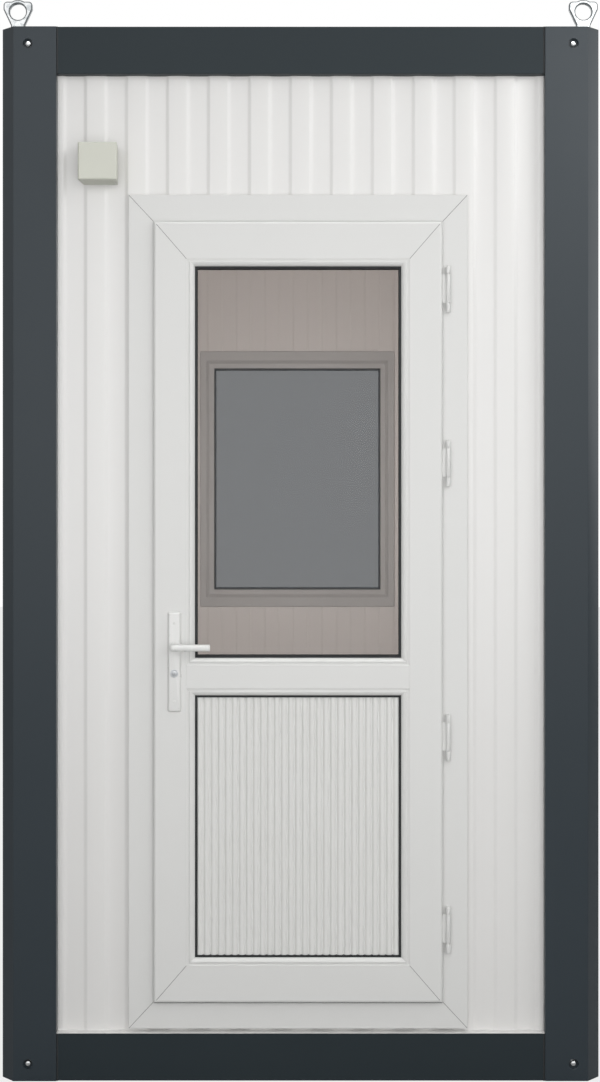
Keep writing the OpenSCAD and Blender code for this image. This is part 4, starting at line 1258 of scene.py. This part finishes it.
@dataclass
class Studio:
    """Floor, white surroundings, soft lamps and the camera at the photograph's place.

    Attributes:
        eye: Place of the camera in metres.
        lens: Focal length in millimetres.
        sensor: Width of the camera's sensor in millimetres.
        shift: Shift of the picture, from the horizon's height in the photograph.
        sky: Strength of the even light from all sides.
        left_white: Strength of the white that gloss shows on the far left.
        left_span: Direction along X where that white begins and where the full white does.
        floor_white: Share of plain white in the floor as the eye sees it, straight and in gloss.
        floor_half: Half the floor's width in metres.
        floor_drop: Distance of the floor below the cabin in millimetres.
        lamps: The lamps.
    """

    eye: Point = (0.0, -4.5, 1.402)
    lens: float = 55.65
    sensor: float = 36.0
    shift: Pair = (-0.0006, -0.0564)
    sky: float = 0.45
    left_white: float = 0.6
    left_span: Pair = (-0.9, -0.35)
    floor_white: Pair = (0.8, 0.1)
    floor_half: float = 14.0
    floor_drop: float = 0.5
    lamps: tuple[Lamp, ...] = (
        Lamp("key", (0.1, -3.2, 1.55), (-0.05, -0.6, 1.15), (3.0, 2.2), 53),
        Lamp("side", (2.4, -2.3, 2.9), (0.0, -0.6, 1.2), (0.8, 1.2), 16),
        Lamp("front_sheen", (0.6, -6.5, 3.2), (0.6, 0.0, 3.2), (8.0, 5.7), 66, LampUse.SHEEN),
        Lamp("ceiling_sheen", (0.2, -1.7, 4.4), (0.2, -1.3, 0.0), (3.0, 1.6), 90, LampUse.SHEEN),
        Lamp("top_sheen", (1.7, -3.2, 3.1), (0.8, -0.6, 2.2), (1.4, 1.1), 1.3, LampUse.SHEEN, spread=50),
        Lamp("side_sheen", (3.6, -2.4, 3.05), (0.5, -0.6, 2.3), (0.8, 1.0), 20, LampUse.SHEEN),
        Lamp("edge_sheen", (3.0, -0.2, 2.5), (0.7, -0.55, 1.8), (1.2, 2.0), 9, LampUse.SHEEN),
        Lamp("rear_left", (-3.6, 3.2, 2.6), (0.0, 0.2, 1.2), (2.0, 2.0), 110),
        Lamp("rear_right", (3.6, 3.2, 2.6), (0.0, 0.2, 1.2), (2.0, 2.0), 110),
        Lamp("room", (0.0, -0.44, 1.3), (0.0, 0.5, 1.3), (1.0, 1.9), 5.8, colour="#fff8f4"))

    def camera(self) -> None:
        """Set the camera level, looking along +Y."""
        data = bpy.data.cameras.new("camera")
        data.lens, data.sensor_width = self.lens, self.sensor
        data.shift_x, data.shift_y = self.shift
        camera = bpy.data.objects.new("camera", data)
        camera.location = self.eye
        camera.rotation_euler = (math.radians(90), 0, 0)
        bpy.context.scene.collection.objects.link(camera)
        bpy.context.scene.camera = camera

    def world(self) -> None:
        """Make the surroundings white to the eye and even in their light."""
        world = bpy.data.worlds.new("white_studio")
        bpy.context.scene.world = world
        tree = emptied(world)
        ray = add(tree, "ShaderNodeLightPath").outputs
        straight = calc(tree, "MAXIMUM", ray["Is Camera Ray"], ray["Is Transmission Ray"])
        way = add(tree, "ShaderNodeTexCoord").outputs["Generated"]
        across = add(tree, "ShaderNodeSeparateXYZ", {"Vector": way}).outputs["X"]
        dim = add(tree, "ShaderNodeMapRange", {
            "Value": across, "From Min": self.left_span[0], "From Max": self.left_span[1],
            "To Min": self.left_white, "To Max": 1.0})
        image = calc(tree, "MULTIPLY", ray["Is Glossy Ray"], dim.outputs["Result"])
        strength = calc(tree, "MAXIMUM", calc(tree, "MAXIMUM", straight, image), self.sky)
        light = add(tree, "ShaderNodeBackground", {"Color": linear("#ffffff"), "Strength": strength})
        add(tree, "ShaderNodeOutputWorld", {"Surface": light.outputs["Background"]})

    def floor(self) -> None:
        """Lay a wide pale floor under the cabin."""
        half, low = self.floor_half, CAD_BOX[0].z - self.floor_drop * MM
        mesh = bpy.data.meshes.new("floor")
        corners = [(-half, -half, low), (half, -half, low), (half, half, low), (-half, half, low)]
        mesh.from_pydata(corners, [], [(0, 1, 2, 3)])
        floor = new_object("floor", mesh)
        mesh.materials.append(self.floor_paint())

    def floor_paint(self) -> bpy.types.Material:
        """Make a pale matt floor paint that looks nearly white and still keeps the shadow."""
        material = bpy.data.materials.new("painted_studio_floor")
        tree = emptied(material)
        matt = add(tree, "ShaderNodeBsdfDiffuse", {"Color": linear("#a4a4a4")})
        white = add(tree, "ShaderNodeEmission", {"Color": linear("#ffffff")})
        ray = add(tree, "ShaderNodeLightPath").outputs
        straight = calc(tree, "MAXIMUM", ray["Is Camera Ray"], ray["Is Transmission Ray"])
        plain = calc(tree, "MULTIPLY", straight, self.floor_white[0])
        gloss = calc(tree, "MULTIPLY", ray["Is Glossy Ray"], self.floor_white[1])
        both = add(tree, "ShaderNodeMixShader", {
            0: calc(tree, "MAXIMUM", plain, gloss), 1: matt.outputs["BSDF"], 2: white.outputs["Emission"]})
        add(tree, "ShaderNodeOutputMaterial", {"Surface": both.outputs["Shader"]})
        return material

    def build(self) -> None:
        """Set up camera, surroundings, floor and lamps."""
        self.camera()
        self.world()
        self.floor()
        for lamp in self.lamps:
            lamp.hang()


def main() -> None:
    """Build the cabin's looks in order."""
    logging.basicConfig(level=logging.INFO, format="%(name)s: %(message)s")
    bpy.context.scene.view_settings.view_transform = "Standard"
    Studio().build()
    fasteners = Fasteners()
    steel, door, handle = SteelFrame(), DoorSet(), HandleSet()
    WallCladding().build()
    steel.build(fasteners)
    door.build(fasteners)
    handle.build(fasteners)
    for assembly in (steel, RoofAndFloor(), door, handle, BackWindow(), VentHood()):
        assembly.dress()


if __name__ == "__main__":
    main()
